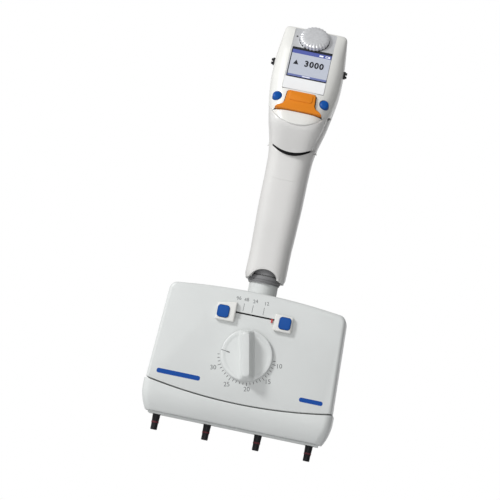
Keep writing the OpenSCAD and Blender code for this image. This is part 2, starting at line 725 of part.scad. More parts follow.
// The board stands behind the display, with three chips in front and one behind
module main_board() color(BOARD) lift() on_face(156) {
    slab_box(11.2, 7.2, 8.8, 0, 44);
    for (x = [-6, 0, 6]) translate([x, 0, 0]) slab_box(2, 6.2, 7.2 + EPS, 22, 30);
    slab_box(6, 8.8 - EPS, 10.4, 10, 18);
}

module battery() color(WRAP) lift() slab_box(9, 7, 14.5, 150, 196);

// ---- Keys and the dial ----

module selector_dial() color(SILVER) lift() on_slope(dial_z) {
    pin_y(5, dial_front + EPS, 3.4);
    difference() {
        pin_y(dial_r, dial_front, -0.5);
        for (i = [0:23]) rotate([0, i * 15 + 7.5, 0]) translate([dial_r + 0.3, 0, 0]) pin_y(0.9, -4, -0.9);
    }
}

module rocker() color(ORANGE) lift() on_face(rocker_z) difference() {
    union() {
        slab(-1.6, 2.6) hat_shape(0);
        block([-5, 2.5, -2.6], [5, 6, 2.6]);
    }
    translate([0, rocker_pin_y, 0]) pin_x(1 + fit_gap, -7, 7);
}

module rocker_pin() color(STEEL) lift() on_face(rocker_z) translate([0, rocker_pin_y, 0]) pin_x(1, -9, 9);

module softkey(side) color(BLUE) lift() on_face(key_z) translate([side * key_x, 0, 0])
    pin_y(key_r, 0.4, 9.6);
module softkey_left() softkey(-1);
module softkey_right() softkey(1);

// ---- Stand lugs and hook ----

module stand_lugs() color(DARK) for (right = [0, 1]) mirror([right, 0, 0]) {
    block([-lug_face, -lug_half, -lug_h / 2], [-lug_root, lug_half, lug_h / 2]);
    for (z = [-lug_h / 4, lug_h / 4]) translate([0, 0, z]) pin_x(stud_r, -stud_end, -lug_face + EPS);
}

module finger_hook() color(WHITE) lift() difference() {
    side_slab(-8, 8) polygon(concat(
        [[15.5, 136.5], [15.5, 150]],
        arc(26, 142, 8, 82, 0, 8),
        [[34, 130.5], [33.4, 129.3], [31.6, 129.3], [31, 130.5]],
        arc(27, 137.5, 4, 0, 90, 6),
        [[22, 141.5], [19.5, 139.5]]
    ));
    back_loft(0);
}

// ---- Ejector drive ----

module ejector_button() color(BEZEL) lift() {
    difference() {
        thumb_loft(0);
        thumb_loft(1.8);
        head_side(seam_gap);
        slab(-40, -5) difference() {
            translate([-30, 120]) square([60, thumb_curve_r + THUMB_Z[0] - 120]);
            translate([0, THUMB_Z[0] + thumb_curve_r]) circle(r = thumb_curve_r);
        }
    }
    slab_box(2, -23.2, -6.8, rod_top, 145);
}

module ejector_pushrod() color(STEEL) lift() {
    translate([0, pushrod_y, 0]) {
        pin_z(1, collar_top - 2.2, rod_top);
        pin_z(2, spring_high_z, spring_high_z + rod_collar_t);
    }
    difference() {
        union() {
            pin_z(sleeve_r, sleeve_top + 0.2, collar_top);
            slab_box(2, pushrod_y - 1, 0, collar_top - 2.2, collar_top);
        }
        pin_z(sleeve_bore_r, sleeve_top - 1, collar_top + 1);
    }
}

// A coil of wire: a ring of points at each step along a helix, joined to the next ring
module coil_spring(coil_r, wire_r, height, turns) {
    steps = 10;
    ring = 6;
    count = turns * steps;
    rise = (height - 2 * wire_r) / count;
    polyhedron(
        [for (i = [0:count], j = [0:ring - 1])
            let (a = 360 * i / steps, b = 360 * j / ring, r = coil_r + wire_r * cos(b))
            [r * cos(a), r * sin(a), wire_r + rise * i + wire_r * sin(b)]],
        concat(
            [for (i = [0:count - 1], j = [0:ring - 1], first = [true, false])
                let (a = i * ring + j, b = i * ring + (j + 1) % ring)
                first ? [a, b, b + ring] : [a, b + ring, a + ring]],
            [[for (j = [0:ring - 1]) ring - 1 - j], [for (j = [0:ring - 1]) count * ring + j]]
        )
    );
}

module ejector_spring() color(STEEL) lift() translate([0, pushrod_y, spring_low_z])
    coil_spring(1.75, 0.35, spring_high_z - spring_low_z, 6);

// ---- Motor, screw, nut and the handle's frame ----

module drive_motor() color(STEEL) lift() {
    pin_z(motor_r, motor_low, motor_top);
    pin_z(4, motor_top - EPS, motor_top + 2);
}

module lead_screw() color(STEEL) lift() {
    pin_z(screw_r, screw_low, motor_low - 2.2);
    for (i = [0:11]) translate([0, 0, screw_low + 1 + 2 * i])
        cylinder(r1 = screw_r + 0.25, r2 = screw_r, h = 1);
    pin_z(1.2, motor_low - 2.3, motor_low - 0.1);
}

module drive_nut() color(NUT) lift() difference() {
    union() {
        pin_z(nut_r, nut_low, nut_top);
        pin_z(drive_rod_r, bar_top - 1.6, nut_low + EPS);
        pin_z(drive_head_r, bar_top - 2.9, bar_top - 1.5);
    }
    pin_z(screw_r + 0.35, nut_low + 1.5, nut_top + 1);
}

module inner_frame() color(GREY) lift() difference() {
    union() {
        pin_z(10.3, 53, 60);
        slab_box(6, 5.5, 12.2, 53, 60);
        slab_box(7, 9.2, 11.8, 53, 136);
        slab_box(7, -6.6, 9.3, motor_low - 2, motor_low - 0.1);
        slab_box(7, -6.6, 9.3, motor_top + 0.1, motor_top + 1.9);
        slab_box(3.2, -10.6, -6, spring_low_z - 2, spring_low_z);
        slab_box(7, -6.5, 9.3, spring_low_z - 2, spring_low_z);
    }
    pin_z(swivel_r + fit_gap, 50, 60.5);
    pin_z(5.2, 80, motor_low - 4);
    pin_z(2.2, motor_low - 3, motor_low + 1);
    pin_z(4.3, motor_top, motor_top + 3);
    translate([0, pushrod_y, 0]) pin_z(1.2, 80, 140);
    for (x = HANDLE_SCREW_X, z = HANDLE_SCREW_Z) translate([x, 0, z]) pin_y(1.25, 5, 20);
}

module handle_screws() color(STEEL) lift() for (x = HANDLE_SCREW_X, z = HANDLE_SCREW_Z)
    let (y = lookup(z, HEAD_BACK)) translate([x, 0, z]) {
        pin_y(1.2, 9.2, y - 0.8);
        difference() {
            pin_y(2.3, y - 0.88, y - 0.2);
            slab(y - 0.7, y) circle(r = 1.2, $fn = 6);
        }
    }

grip_front_shell();
back_shell();
head_bezel();
display_panel();
display_screen();
finger_hook();
stand_lugs();
main_board();
battery();
drive_motor();
inner_frame();
rocker_pin();
handle_screws();
selector_dial();
rocker();
softkey_left();
softkey_right();
ejector_button();
ejector_pushrod();
ejector_spring();
lead_screw();
drive_nut();
neck_tube();
coupling_ring();
front_cover();
rear_cover();
chassis();
guide_rods();
cover_screws();
drive_bar();
ejector_cover();
ejector_strip();
ejector_yoke();
spread_knob();
pinion_shaft();
indicator_slide();
stop_block_left();
stop_block_right();
stop_button_left();
stop_button_right();
carriage_1();
carriage_2();
carriage_3();
carriage_4();
for (n = CHANNELS) {
    cylinder_body(n);
    piston(n);
    nozzle(n);
    nozzle_ring(n);
}
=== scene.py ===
"""Electronic multichannel pipette: shells, keys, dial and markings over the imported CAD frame."""
import bmesh
import bpy
import json
import math
from mathutils import Matrix, Vector


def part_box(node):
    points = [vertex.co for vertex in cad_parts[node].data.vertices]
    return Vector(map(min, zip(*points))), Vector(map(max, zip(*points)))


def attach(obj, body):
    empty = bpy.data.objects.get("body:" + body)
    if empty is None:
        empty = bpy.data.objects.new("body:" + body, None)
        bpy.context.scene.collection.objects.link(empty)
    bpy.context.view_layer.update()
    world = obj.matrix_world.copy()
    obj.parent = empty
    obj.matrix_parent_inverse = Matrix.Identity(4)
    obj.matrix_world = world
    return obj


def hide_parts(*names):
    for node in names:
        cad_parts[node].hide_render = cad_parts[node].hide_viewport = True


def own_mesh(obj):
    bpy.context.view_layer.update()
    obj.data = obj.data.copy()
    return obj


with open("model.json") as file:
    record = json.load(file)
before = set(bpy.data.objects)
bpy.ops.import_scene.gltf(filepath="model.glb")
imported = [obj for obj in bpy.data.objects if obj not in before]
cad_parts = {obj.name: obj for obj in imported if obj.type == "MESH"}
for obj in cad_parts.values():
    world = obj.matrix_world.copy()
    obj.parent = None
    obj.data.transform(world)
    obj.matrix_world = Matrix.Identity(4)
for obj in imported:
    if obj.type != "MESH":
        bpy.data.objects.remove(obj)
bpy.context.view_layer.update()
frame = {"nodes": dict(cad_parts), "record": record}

# ---- Measures, in millimetres above the knob's axis ----

MM = 0.001
knob_low, knob_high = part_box("spread_knob")
KNOB_Z = (knob_low.z + knob_high.z) / 2
cover_low, cover_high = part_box("front_cover")
FRONT_Y = cover_low.y / MM
REAR_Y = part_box("rear_cover")[1].y / MM
SEAM_GAP = 0.6
PLATE_LOW_W = (cover_high.x - cover_low.x) / MM
PLATE_TOP_W = PLATE_LOW_W - 6
CORNER_R = 5
CORNER_Z = 33
SEAM_SIDE_Z = -25.5
SEAM_MID_Z = -31
ARCH_MID_Z = (cover_high.z - KNOB_Z) / MM
ARCH_DROP = 3
ARCH_HALF = 50
SKIRT_LOW_Z = (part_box("ejector_cover")[0].z - KNOB_Z) / MM
SLOT_Z = 25.7
SPLIT_Y = 3
COVER_SCREWS = [(-54, -8), (54, -8), (-28, 32.75), (28, 32.75)]
HANDLE_SCREWS = [(-5, 66), (-5, 128), (5, 66), (5, 128)]
THUMB_SPLIT_Y = -12.4
GRIP_LOW_Z = 50
NECK_ARCH_Z = 45.6
NECK_ARCH_R = 10.9
HEAD_LOW_Z = 149.5
HEAD_TOP_Z = 213.6
TOP_ROUND = 2.6
CREASE_Z = 200.3
MOUTH_R = 24.8
MOUTH_Z = HEAD_LOW_Z + MOUTH_R
THUMB_CURVE_R = 23.5
THUMB_LOW_Z = 132
FACE_TILT = math.radians(17.9)
DIAL_TILT = math.radians(37.3)
DIAL_Z = 207
DIAL_R = 9.4
DIAL_RIBS = 24
KEY_Z = 166.3
KEY_X = 15.2
KEY_R = 2.95
KEY_HOLE_R = 3.15
ROCKER_Z = 164
PANEL_HALF = 13.4
PANEL_LOW_Z = 172

# Half-widths, fronts and backs of the handle at a few heights
GRIP_W = [(50, 13.1), (60, 13), (70, 12.9), (80, 13.3), (100, 13.9), (120, 13.9), (130, 14.2), (135, 14.9),
          (140, 15.8), (145, 17.1), (150, 18.5), (160, 20.3), (170, 21.9), (178, 22.6), (190, 22.5), (196, 22),
          (202, 21.3), (208, 20.6), (212, 20)]
GRIP_BELOW = [(50, -13), (80, -13), (110, -13.8), (131, -14.5), (140, -14.8)]
BACK = [(50, 15), (90, 15), (120, 16), (150, 18), (180, 19.5), (200, 19), (208, 17.8), (212, 16.5)]
THUMB_W = [(131, 12.4), (135, 13.2), (140, 14.2), (149, 17.2), (160, 19.3)]
THUMB_FRONT = [(131, -18), (136, -20.6), (142, -23.6), (149, -26.4), (160, -23.3)]
# How square the handle's sections are: 2 is an ellipse
SQUARE = [(50, 3.3), (130, 3.3), (160, 3.8), (212, 3.8)]


def at(x, y, z):
    """A point in metres from millimetres, with z above the knob's axis."""
    return Vector((x * MM, y * MM, z * MM + KNOB_Z))


def straight(z, table):
    """Linear interpolation in a table of stations."""
    if z <= table[0][0]:
        return table[0][1]
    for (z0, v0), (z1, v1) in zip(table, table[1:]):
        if z <= z1:
            return v0 + (v1 - v0) * (z - z0) / (z1 - z0)
    return table[-1][1]


SMOOTH_STEPS = [-1, -0.6, -0.2, 0.2, 0.6, 1]


def smooth(z, table, reach=3.0):
    """The table averaged over a short stretch, which rounds its corners."""
    return sum(straight(z + s * reach, table) for s in SMOOTH_STEPS) / len(SMOOTH_STEPS)


def head_front(z):
    """Depth of the head's front at a height: the display's slope, then the dial's steeper one."""
    crease = -27 + (CREASE_Z - HEAD_LOW_Z) * math.tan(FACE_TILT)
    if z < CREASE_Z:
        return -27 + (z - HEAD_LOW_Z) * math.tan(FACE_TILT)
    return crease + (z - CREASE_Z) * math.tan(DIAL_TILT)


def top_round(z):
    """How far the shell draws in as it rounds over the top of the head."""
    rise = max(0.0, z - (HEAD_TOP_Z - TOP_ROUND))
    return TOP_ROUND - math.sqrt(max(0.0, TOP_ROUND * TOP_ROUND - rise * rise))


# ---- Building meshes ----

def finish_piece(obj, material, body, replaces=(), sharp=35):
    """Smooth shading with sharp edges kept, a material, and the body that the piece rides on."""
    mesh = obj.data
    if mesh.materials:
        mesh.materials.clear()
    mesh.materials.append(material)
    for face in mesh.polygons:
        face.use_smooth = True
    mesh.set_sharp_from_angle(angle=math.radians(sharp))
    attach(obj, body)
    if replaces:
        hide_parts(*replaces)
    return obj


def new_object(name, mesh):
    obj = bpy.data.objects.new(name, mesh)
    bpy.context.scene.collection.objects.link(obj)
    return obj


def from_bmesh(name, bm):
    bmesh.ops.recalc_face_normals(bm, faces=bm.faces)
    mesh = bpy.data.meshes.new(name)
    bm.to_mesh(mesh)
    bm.free()
    return new_object(name, mesh)


def applied(obj):
    """The object with its modifiers made part of its mesh."""
    graph = bpy.context.evaluated_depsgraph_get()
    mesh = bpy.data.meshes.new_from_object(obj.evaluated_get(graph))
    obj.modifiers.clear()
    old = obj.data
    obj.data = mesh
    bpy.data.meshes.remove(old)
    return obj


def bevelled(obj, width, segments=3, angle=40):
    mod = obj.modifiers.new("bevel", "BEVEL")
    mod.width = width * MM
    mod.segments = segments
    mod.limit_method = "ANGLE"
    mod.angle_limit = math.radians(angle)
    mod.use_clamp_overlap = True
    return applied(obj)


def cut(obj, *cutters):
    for cutter in cutters:
        mod = obj.modifiers.new("cut", "BOOLEAN")
        mod.operation = "DIFFERENCE"
        mod.solver = "EXACT"
        mod.object = cutter
    applied(obj)
    for cutter in cutters:
        bpy.data.objects.remove(cutter)
    return obj


def grid_shell(name, point, columns, rows, thickness):
    """A shell over a grid of points: point(u, v) gives millimetres for u and v from 0 to 1."""
    bm = bmesh.new()
    verts = [[bm.verts.new(at(*point(i / columns, j / rows))) for i in range(columns + 1)]
             for j in range(rows + 1)]
    for j in range(rows):
        for i in range(columns):
            bm.faces.new((verts[j][i], verts[j][i + 1], verts[j + 1][i + 1], verts[j + 1][i]))
    bm.faces.ensure_lookup_table()
    bm.normal_update()
    middle_face = bm.faces[columns * (rows // 2) + columns // 2]
    if middle_face.normal.y * (middle_face.calc_center_median().y - SPLIT_Y * MM) < 0:
        bmesh.ops.reverse_faces(bm, faces=bm.faces)
    mesh = bpy.data.meshes.new(name)
    bm.to_mesh(mesh)
    bm.free()
    obj = new_object(name, mesh)
    mod = obj.modifiers.new("wall", "SOLIDIFY")
    mod.thickness = thickness * MM
    mod.offset = -1
    mod.use_even_offset = False
    return applied(obj)


def prism(name, outline, y0, y1, place=None):
    """A closed outline of (x, z) points filled between two depths, in the frame that place gives."""
    place = place or Matrix.Translation(at(0, 0, 0))
    bm = bmesh.new()
    front = [bm.verts.new(place @ Vector((x * MM, y0 * MM, z * MM))) for x, z in outline]
    back = [bm.verts.new(place @ Vector((x * MM, y1 * MM, z * MM))) for x, z in outline]
    bm.faces.new(front)
    bm.faces.new(back[::-1])
    n = len(outline)
    for i in range(n):
        bm.faces.new((front[i], back[i], back[(i + 1) % n], front[(i + 1) % n]))
    return from_bmesh(name, bm)


def rings_shape(name, rings):
    """A closed mesh over rings that have as many points each, in metres, with a face over both ends."""
    bm = bmesh.new()
    loops = [[bm.verts.new(point) for point in ring] for ring in rings]
    for low, high in zip(loops, loops[1:]):
        for i in range(len(low)):
            j = (i + 1) % len(low)
            bm.faces.new((low[i], low[j], high[j], high[i]))
    bm.faces.new(loops[0][::-1])
    bm.faces.new(loops[-1])
    return from_bmesh(name, bm)


def lathe(name, profile, place, segments=64, closed=False):
    """A profile of (radius, height) points turned about the local Z axis of place."""
    bm = bmesh.new()
    rings = []
    for r, h in profile:
        if r < 1e-6:
            rings.append([bm.verts.new(place @ Vector((0, 0, h * MM)))])
        else:
            rings.append([bm.verts.new(place @ Vector((r * MM * math.cos(a), r * MM * math.sin(a), h * MM)))
                          for a in [2 * math.pi * k / segments for k in range(segments)]])
    pairs = list(zip(rings, rings[1:])) + ([(rings[-1], rings[0])] if closed else [])
    for low, high in pairs:
        for k in range(segments):
            m = (k + 1) % segments
            if len(low) == 1:
                bm.faces.new((low[0], high[m], high[k]))
            elif len(high) == 1:
                bm.faces.new((low[k], low[m], high[0]))
            else:
                bm.faces.new((low[k], low[m], high[m], high[k]))
    return from_bmesh(name, bm)


def joined(name, *objects):
    """Several meshes as one object."""
    bm = bmesh.new()
    for obj in objects:
        bm.from_mesh(obj.data)
        bpy.data.objects.remove(obj)
    mesh = bpy.data.meshes.new(name)
    bm.to_mesh(mesh)
    bm.free()
    return new_object(name, mesh)


def arc(cx, cz, r, a0, a1, n):
    return [(cx + r * math.cos(math.radians(a0 + (a1 - a0) * i / n)),
             cz + r * math.sin(math.radians(a0 + (a1 - a0) * i / n))) for i in range(n + 1)]


def rounded_box(half_w, half_h, r, cx=0, cz=0, n=6):
    points = []
    for sx, sz, start in ((1, 1, 0), (-1, 1, 90), (-1, -1, 180), (1, -1, 270)):
        points += arc(cx + sx * (half_w - r), cz + sz * (half_h - r), r, start, start + 90, n)
    return points


def face_place(z, x=0):
    """The frame of the display's face at a height: X right, -Y out, Z up the face."""
    lean = Matrix.Rotation(-FACE_TILT, 4, "X")
    return Matrix.Translation(at(0, head_front(z), z)) @ lean @ Matrix.Translation(Vector((x * MM, 0, 0)))


def slope_place(z):
    """The frame of the dial's steeper face at a height."""
    return Matrix.Translation(at(0, head_front(z), z)) @ Matrix.Rotation(-DIAL_TILT, 4, "X")


# Turns a local Z axis to the front, or to the rear
OUTWARD = Matrix.Rotation(math.radians(90), 4, "X")
INWARD = Matrix.Rotation(math.radians(-90), 4, "X")

# ---- Materials ----


class Nodes:
    """A short way to build a node material on one Principled shader."""

    def __init__(self, name, **constants):
        self.material = bpy.data.materials.new(name)
        self.material.use_nodes = True
        self.tree = self.material.node_tree
        self.shader = self.tree.nodes["Principled BSDF"]
        for socket, value in constants.items():
            self.shader.inputs[socket.replace("_", " ")].default_value = value
        self.place = self.tree.nodes.new("ShaderNodeTexCoord").outputs["Object"]

    def link(self, output, target):
        self.tree.links.new(output, target)

    def noise(self, scale, detail=2.0, stretch=None):
        node = self.tree.nodes.new("ShaderNodeTexNoise")
        node.inputs["Scale"].default_value = scale
        node.inputs["Detail"].default_value = detail
        source = self.place
        if stretch:
            mapping = self.tree.nodes.new("ShaderNodeMapping")
            mapping.inputs["Scale"].default_value = stretch
            self.link(source, mapping.inputs["Vector"])
            source = mapping.outputs["Vector"]
        self.link(source, node.inputs["Vector"])
        return node.outputs["Fac"]

    def ramp(self, factor, low, high, start=0.3, end=0.7):
        node = self.tree.nodes.new("ShaderNodeValToRGB")
        node.color_ramp.elements[0].position = start
        node.color_ramp.elements[0].color = (*low, 1)
        node.color_ramp.elements[1].position = end
        node.color_ramp.elements[1].color = (*high, 1)
        self.link(factor, node.inputs["Fac"])
        return node.outputs["Color"]

    def span(self, factor, low, high):
        node = self.tree.nodes.new("ShaderNodeMapRange")
        node.inputs["To Min"].default_value = low
        node.inputs["To Max"].default_value = high
        self.link(factor, node.inputs["Value"])
        return node.outputs["Result"]

    def colour(self, output):
        self.link(output, self.shader.inputs["Base Color"])

    def rough(self, factor, low, high):
        self.link(self.span(factor, low, high), self.shader.inputs["Roughness"])

    def bump(self, height, strength, distance):
        node = self.tree.nodes.new("ShaderNodeBump")
        node.inputs["Strength"].default_value = strength
        node.inputs["Distance"].default_value = distance
        self.link(height, node.inputs["Height"])
        self.link(node.outputs["Normal"], self.shader.inputs["Normal"])


def tint(colour, factor):
    return tuple(min(1.0, c * factor) for c in colour)


def moulded(name, colour, low=0.32, high=0.44, grain=2600, depth=0.00002, coat=0.0, change=0.03, gloss=0.5):
    """Moulded plastic: fine spark-eroded grain, slow flow variation in colour and gloss."""
    n = Nodes(name, Coat_Weight=coat, Coat_Roughness=0.15, Specular_IOR_Level=gloss)
    slow = n.noise(22, 3)
    n.colour(n.ramp(slow, tint(colour, 1 - change), tint(colour, 1 + change)))
    n.rough(n.noise(260, 4), low, high)
    n.bump(n.noise(grain, 2), 0.35, depth)
    return n.material


def metal(name, colour, stretch=(1, 1, 1), low=0.22, high=0.38, scale=900, metallic=1.0):
    n = Nodes(name, Metallic=metallic)
    fine = n.noise(scale, 4, stretch)
    n.colour(n.ramp(fine, tint(colour, 0.92), tint(colour, 1.06)))
    n.rough(fine, low, high)
    n.bump(fine, 0.25, 0.00001)
    return n.material


def lit(name, colour, glow):
    """A lit part of the display: pixels' fine grid over an even colour."""
    n = Nodes(name, Roughness=0.25, Emission_Strength=glow)
    fine = n.noise(1800, 2)
    shade = n.ramp(fine, tint(colour, 0.97), tint(colour, 1.03))
    n.colour(shade)
    n.link(shade, n.shader.inputs["Emission Color"])
    return n.material


WHITE = moulded("white plastic", (0.67, 0.69, 0.68), coat=0.05)
# The bezel plastic is lighter than the grip plastic: partly its own whiter tone and partly painted light for the
# head's face, which tilts up towards the lamp.
BEZEL = moulded("bezel plastic", (0.78, 0.78, 0.75), low=0.25, high=0.36, coat=0.1)
GRIP = moulded("grip plastic", (0.68, 0.675, 0.66), low=0.3, high=0.42, coat=0.05)
GREY = moulded("grey plastic", (0.2, 0.2, 0.205), low=0.4, high=0.55)
DARK = moulded("black plastic", (0.012, 0.012, 0.014), low=0.3, high=0.45, change=0.2, gloss=0.2)
BLUE = moulded("blue plastic", (0.002, 0.075, 0.34), low=0.3, high=0.4, change=0.08, gloss=0.2)
ORANGE = moulded("orange plastic", (0.74, 0.225, 0.008), low=0.34, high=0.46, change=0.04, gloss=0.3)
RED = moulded("red plastic", (0.5, 0.012, 0.015), low=0.25, high=0.35)
SEAL = moulded("seal rubber", (0.10, 0.006, 0.014), low=0.5, high=0.7)
NUT = moulded("acetal", (0.75, 0.72, 0.62), low=0.35, high=0.5)
CYLINDER = moulded("cylinder plastic", (0.68, 0.70, 0.72), low=0.2, high=0.3, coat=0.2)
BOARD = moulded("circuit board", (0.01, 0.10, 0.035), low=0.3, high=0.5, grain=900, change=0.15)
WRAP = moulded("battery sleeve", (0.03, 0.07, 0.30), low=0.15, high=0.3, coat=0.4)
INK = moulded("printed grey", (0.12, 0.125, 0.13), low=0.5, high=0.6)
TICK = moulded("printed dark grey", (0.03, 0.03, 0.035), low=0.5, high=0.6)
BLUE_INK = moulded("printed blue", (0.003, 0.065, 0.33), low=0.45, high=0.55, gloss=0.2)
STEEL = metal("turned steel", (0.62, 0.63, 0.65), (1, 1, 30))
SILVER = metal("satin silver", (0.66, 0.67, 0.69), low=0.35, high=0.5, scale=1400, metallic=0.45)
DIAL = metal("brushed dial", (0.80, 0.81, 0.83), low=0.24, high=0.4, scale=700, metallic=0.6)
STRIP = moulded("white strip", (0.85, 0.86, 0.87), low=0.3, high=0.4)
LCD = lit("display field", (0.47, 0.50, 0.57), 0.12)
LCD_TITLE = lit("display title bar", (0.075, 0.10, 0.34), 0.15)
LCD_LINE = lit("display line", (0.14, 0.17, 0.38), 0.1)
LCD_WHITE = lit("display white", (0.8, 0.82, 0.88), 0.2)
LCD_BLACK = lit("display black", (0.012, 0.014, 0.02), 0.0)

SLOT_MATERIAL = {"white_plastic": WHITE, "bezel_plastic": BEZEL, "silver_panel": SILVER, "display_glass": LCD,
                 "grey_plastic": GREY, "dark_plastic": DARK, "steel": STEEL, "blue_plastic": BLUE,
                 "orange_plastic": ORANGE, "circuit_board": BOARD, "battery_wrap": WRAP, "red_plastic": RED,
                 "seal_rubber": SEAL, "nut_plastic": NUT}
for part in frame["record"]["subparts"]:
    node = frame["nodes"][part["node"]]
    material = SLOT_MATERIAL[part["material_slot"]]
    if part["node"].startswith("cylinder"):
        material = CYLINDER
    node.data.materials.clear()
    node.data.materials.append(material)
    for face in node.data.polygons:
        face.use_smooth = True
    node.data.set_sharp_from_angle(angle=math.radians(30))


# ---- Manifold covers ----

def plate_half(z):
    return PLATE_TOP_W / 2 + (CORNER_Z - z) * (PLATE_LOW_W - PLATE_TOP_W) / 2 / (CORNER_Z - SEAM_SIDE_Z)


def arch_z(x):
    return ARCH_MID_Z - ARCH_DROP * (x / ARCH_HALF) ** 2


def seam_z(x):
    return SEAM_MID_Z + (SEAM_SIDE_Z - SEAM_MID_Z) * (2 * x / PLATE_LOW_W) ** 2


def plate_outline(inset):
    """Counter-clockwise from the lower left corner along the seam, up the side and over the arch."""
    cx = plate_half(CORNER_Z) - CORNER_R
    cz = arch_z(cx) - CORNER_R
    radius = max(0.6, CORNER_R - inset)
    low_half = plate_half(SEAM_SIDE_Z) - inset
    seam = [(x, seam_z(x) + inset * 0.25) for x in [low_half * i / 20 for i in range(-19, 20)]]
    side = [(plate_half(z) - inset, z) for z in (-25.2, -18, -10, 0, 10, 20, 28)]
    corner = arc(plate_half(CORNER_Z) - inset - radius, cz - inset + CORNER_R - radius, radius, 4, 84, 10)
    top = [(x, arch_z(x) - inset) for x in [(cx - 3) * i / 16 for i in range(15, -1, -1)]]
    right = side + corner + top
    return seam + right + [(-x, z) for x, z in right[-2::-1]]


def dished_box(name, outline, y_face, y_open, radius, wall, steps=7):
    """An open box: a face with a rounded edge, side walls and an inner skin.

    outline(inset) has as many points at every inset.
    """
    sign = 1 if y_open > y_face else -1
    turn = [math.radians(90 * k / steps) for k in range(steps + 1)]
    outer = [(radius * (1 - math.sin(a)), y_face + sign * radius * (1 - math.cos(a))) for a in turn]
    inner_r = max(0.4, radius - wall)
    inner = [(wall + inner_r * (1 - math.sin(a)), y_face + sign * (wall + inner_r * (1 - math.cos(a))))
             for a in turn]
    profile = outer + [(0.0, y_open - sign * 0.35), (0.35, y_open), (wall, y_open)] + inner[::-1]
    return rings_shape(name, [[at(x, y, z) for x, z in outline(inset)] for inset, y in profile])


def neck_cutter():
    """The neck's outline in plan, a front circle and a rear one, through the top of a cover."""
    points = arc(0, 0, 9.3, 180, 360, 24) + arc(0, 3.5, 9.8, 0, 180, 24)
    return rings_shape("neck cutter", [[at(x, y, z) for x, y in points] for z in (30, 50)])


def screw_seat(x, y, z):
    """A cutter for the shallow round seat of a screw's head in a rear face at depth y."""
    place = Matrix.Translation(at(x, y, z)) @ INWARD
    return lathe("seat cutter", [(0, -0.9), (2.5, -0.9), (2.5, 2), (0, 2)], place)


# How far the open edges of the covers stay from the seam between them
SEAM_Y = 0.06
COVER_WALL = 2.0
front = dished_box("manifold_front", plate_outline, FRONT_Y, -SEAM_Y, 2.4, COVER_WALL)
cut(front,
    prism("slot cutter", rounded_box(22.5, 0.5, 0.45, 0, SLOT_Z), FRONT_Y - 1, FRONT_Y + 4),
    prism("recess cutter", rounded_box(14.5, 1.6, 0.5, 0, SLOT_Z - 2.1), FRONT_Y - 1, FRONT_Y + 0.7),
    lathe("hub cutter", [(0, -2), (5.1, -2), (5.1, 4), (0, 4)],
          Matrix.Translation(at(0, FRONT_Y, 0)) @ INWARD),
    neck_cutter())
finish_piece(front, WHITE, "manifold", ["front_cover"])

rear = dished_box("manifold_rear", plate_outline, REAR_Y, SEAM_Y, 4.0, COVER_WALL)
cut(rear, neck_cutter(), *[screw_seat(x, REAR_Y, z) for x, z in COVER_SCREWS])
finish_piece(rear, WHITE, "manifold", ["rear_cover"])


def skirt_half(z, inset):
    """Half the skirt's width at a height: even below the seam, then curving in."""
    t = max(0.0, (SEAM_SIDE_Z - SEAM_GAP - z) / (SEAM_SIDE_Z - SEAM_GAP - SKIRT_LOW_Z))
    return PLATE_LOW_W / 2 + 1 - 4 * (max(0.0, t - 0.2) / 0.8) ** 2 - inset


def skirt_face(z):
    """How far the skirt's face draws back towards its lower edge."""
    t = max(0.0, (SEAM_MID_Z - z) / (SEAM_MID_Z - SKIRT_LOW_Z))
    return 5.2 * t ** 2.2


def plan_ring(half_w, half_d, r):
    """The skirt's outline in plan, counter-clockwise, with even points along its long edges."""
    run = half_w - r
    front = [(-run + run * i / 20, -half_d) for i in range(1, 40)]
    points = front + arc(run, r - half_d, r, 270, 360, 7) + arc(run, half_d - r, r, 0, 90, 7)
    points += [(-x, -y) for x, y in front]
    return points + arc(-run, half_d - r, r, 90, 180, 7) + arc(-run, r - half_d, r, 180, 270, 7)


def skirt_row(v, inset):
    """One ring round the skirt, for v from 0 at the lower edge to 1 at the seam."""
    half_d = (REAR_Y - FRONT_Y) / 2 - inset
    mid = (REAR_Y + FRONT_Y) / 2
    row = []
    for i, (x, _) in enumerate(plan_ring(PLATE_LOW_W / 2 + 1 - inset, half_d, 5)):
        top = seam_z(min(PLATE_LOW_W / 2, abs(x))) - SEAM_GAP
        z = SKIRT_LOW_Z + (top - SKIRT_LOW_Z) * v
        px, py = plan_ring(skirt_half(z, inset), half_d - skirt_face(z), 5 - inset * 0.8)[i]
        row.append(at(px, mid + py, z))
    return row


def skirt():
    """The ejector's cover: outer band, rolled rim at the seam, inner band and a floor to be slotted."""
    outer = [skirt_row(j / 14, 0) for j in range(15)]
    inner = [skirt_row(0.1 + 0.9 * j / 8, 1.5) for j in range(9)]
    return rings_shape("skirt_shell", outer + inner[::-1])


skirt_shell = skirt()
cut(skirt_shell, prism("floor slot", rounded_box(54.5, 6, 0.5, 0, SKIRT_LOW_Z), -4.4, 4.4))
bevelled(skirt_shell, 0.3, 2, 50)
finish_piece(skirt_shell, WHITE, "ejector", ["ejector_cover"])

strip_low, strip_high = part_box("ejector_strip")
strip_z = ((strip_low.z + strip_high.z) / 2 - KNOB_Z) / MM
strip = prism("stripper_plate", rounded_box(strip_high.x / MM, 0.74, 0.3, 0, strip_z),
              strip_low.y / MM, strip_high.y / MM)
cut(strip, prism("strip slot", rounded_box(52.6, 3, 0.4, 0, strip_z), -2.9, 2.9))
bevelled(strip, 0.25, 2)
finish_piece(strip, WHITE, "ejector", ["ejector_strip"])
GATE_Z = -41
gate_y = FRONT_Y + skirt_face(GATE_Z)
for side in (-1, 1):
    mark = prism(f"skirt_gate_mark_{side}", rounded_box(0.35, 1.1, 0.3, side * 54, GATE_Z),
                 gate_y + 0.25, gate_y + 1.5)
    finish_piece(bevelled(mark, 0.08, 2), WHITE, "ejector")

# ---- Knob ----

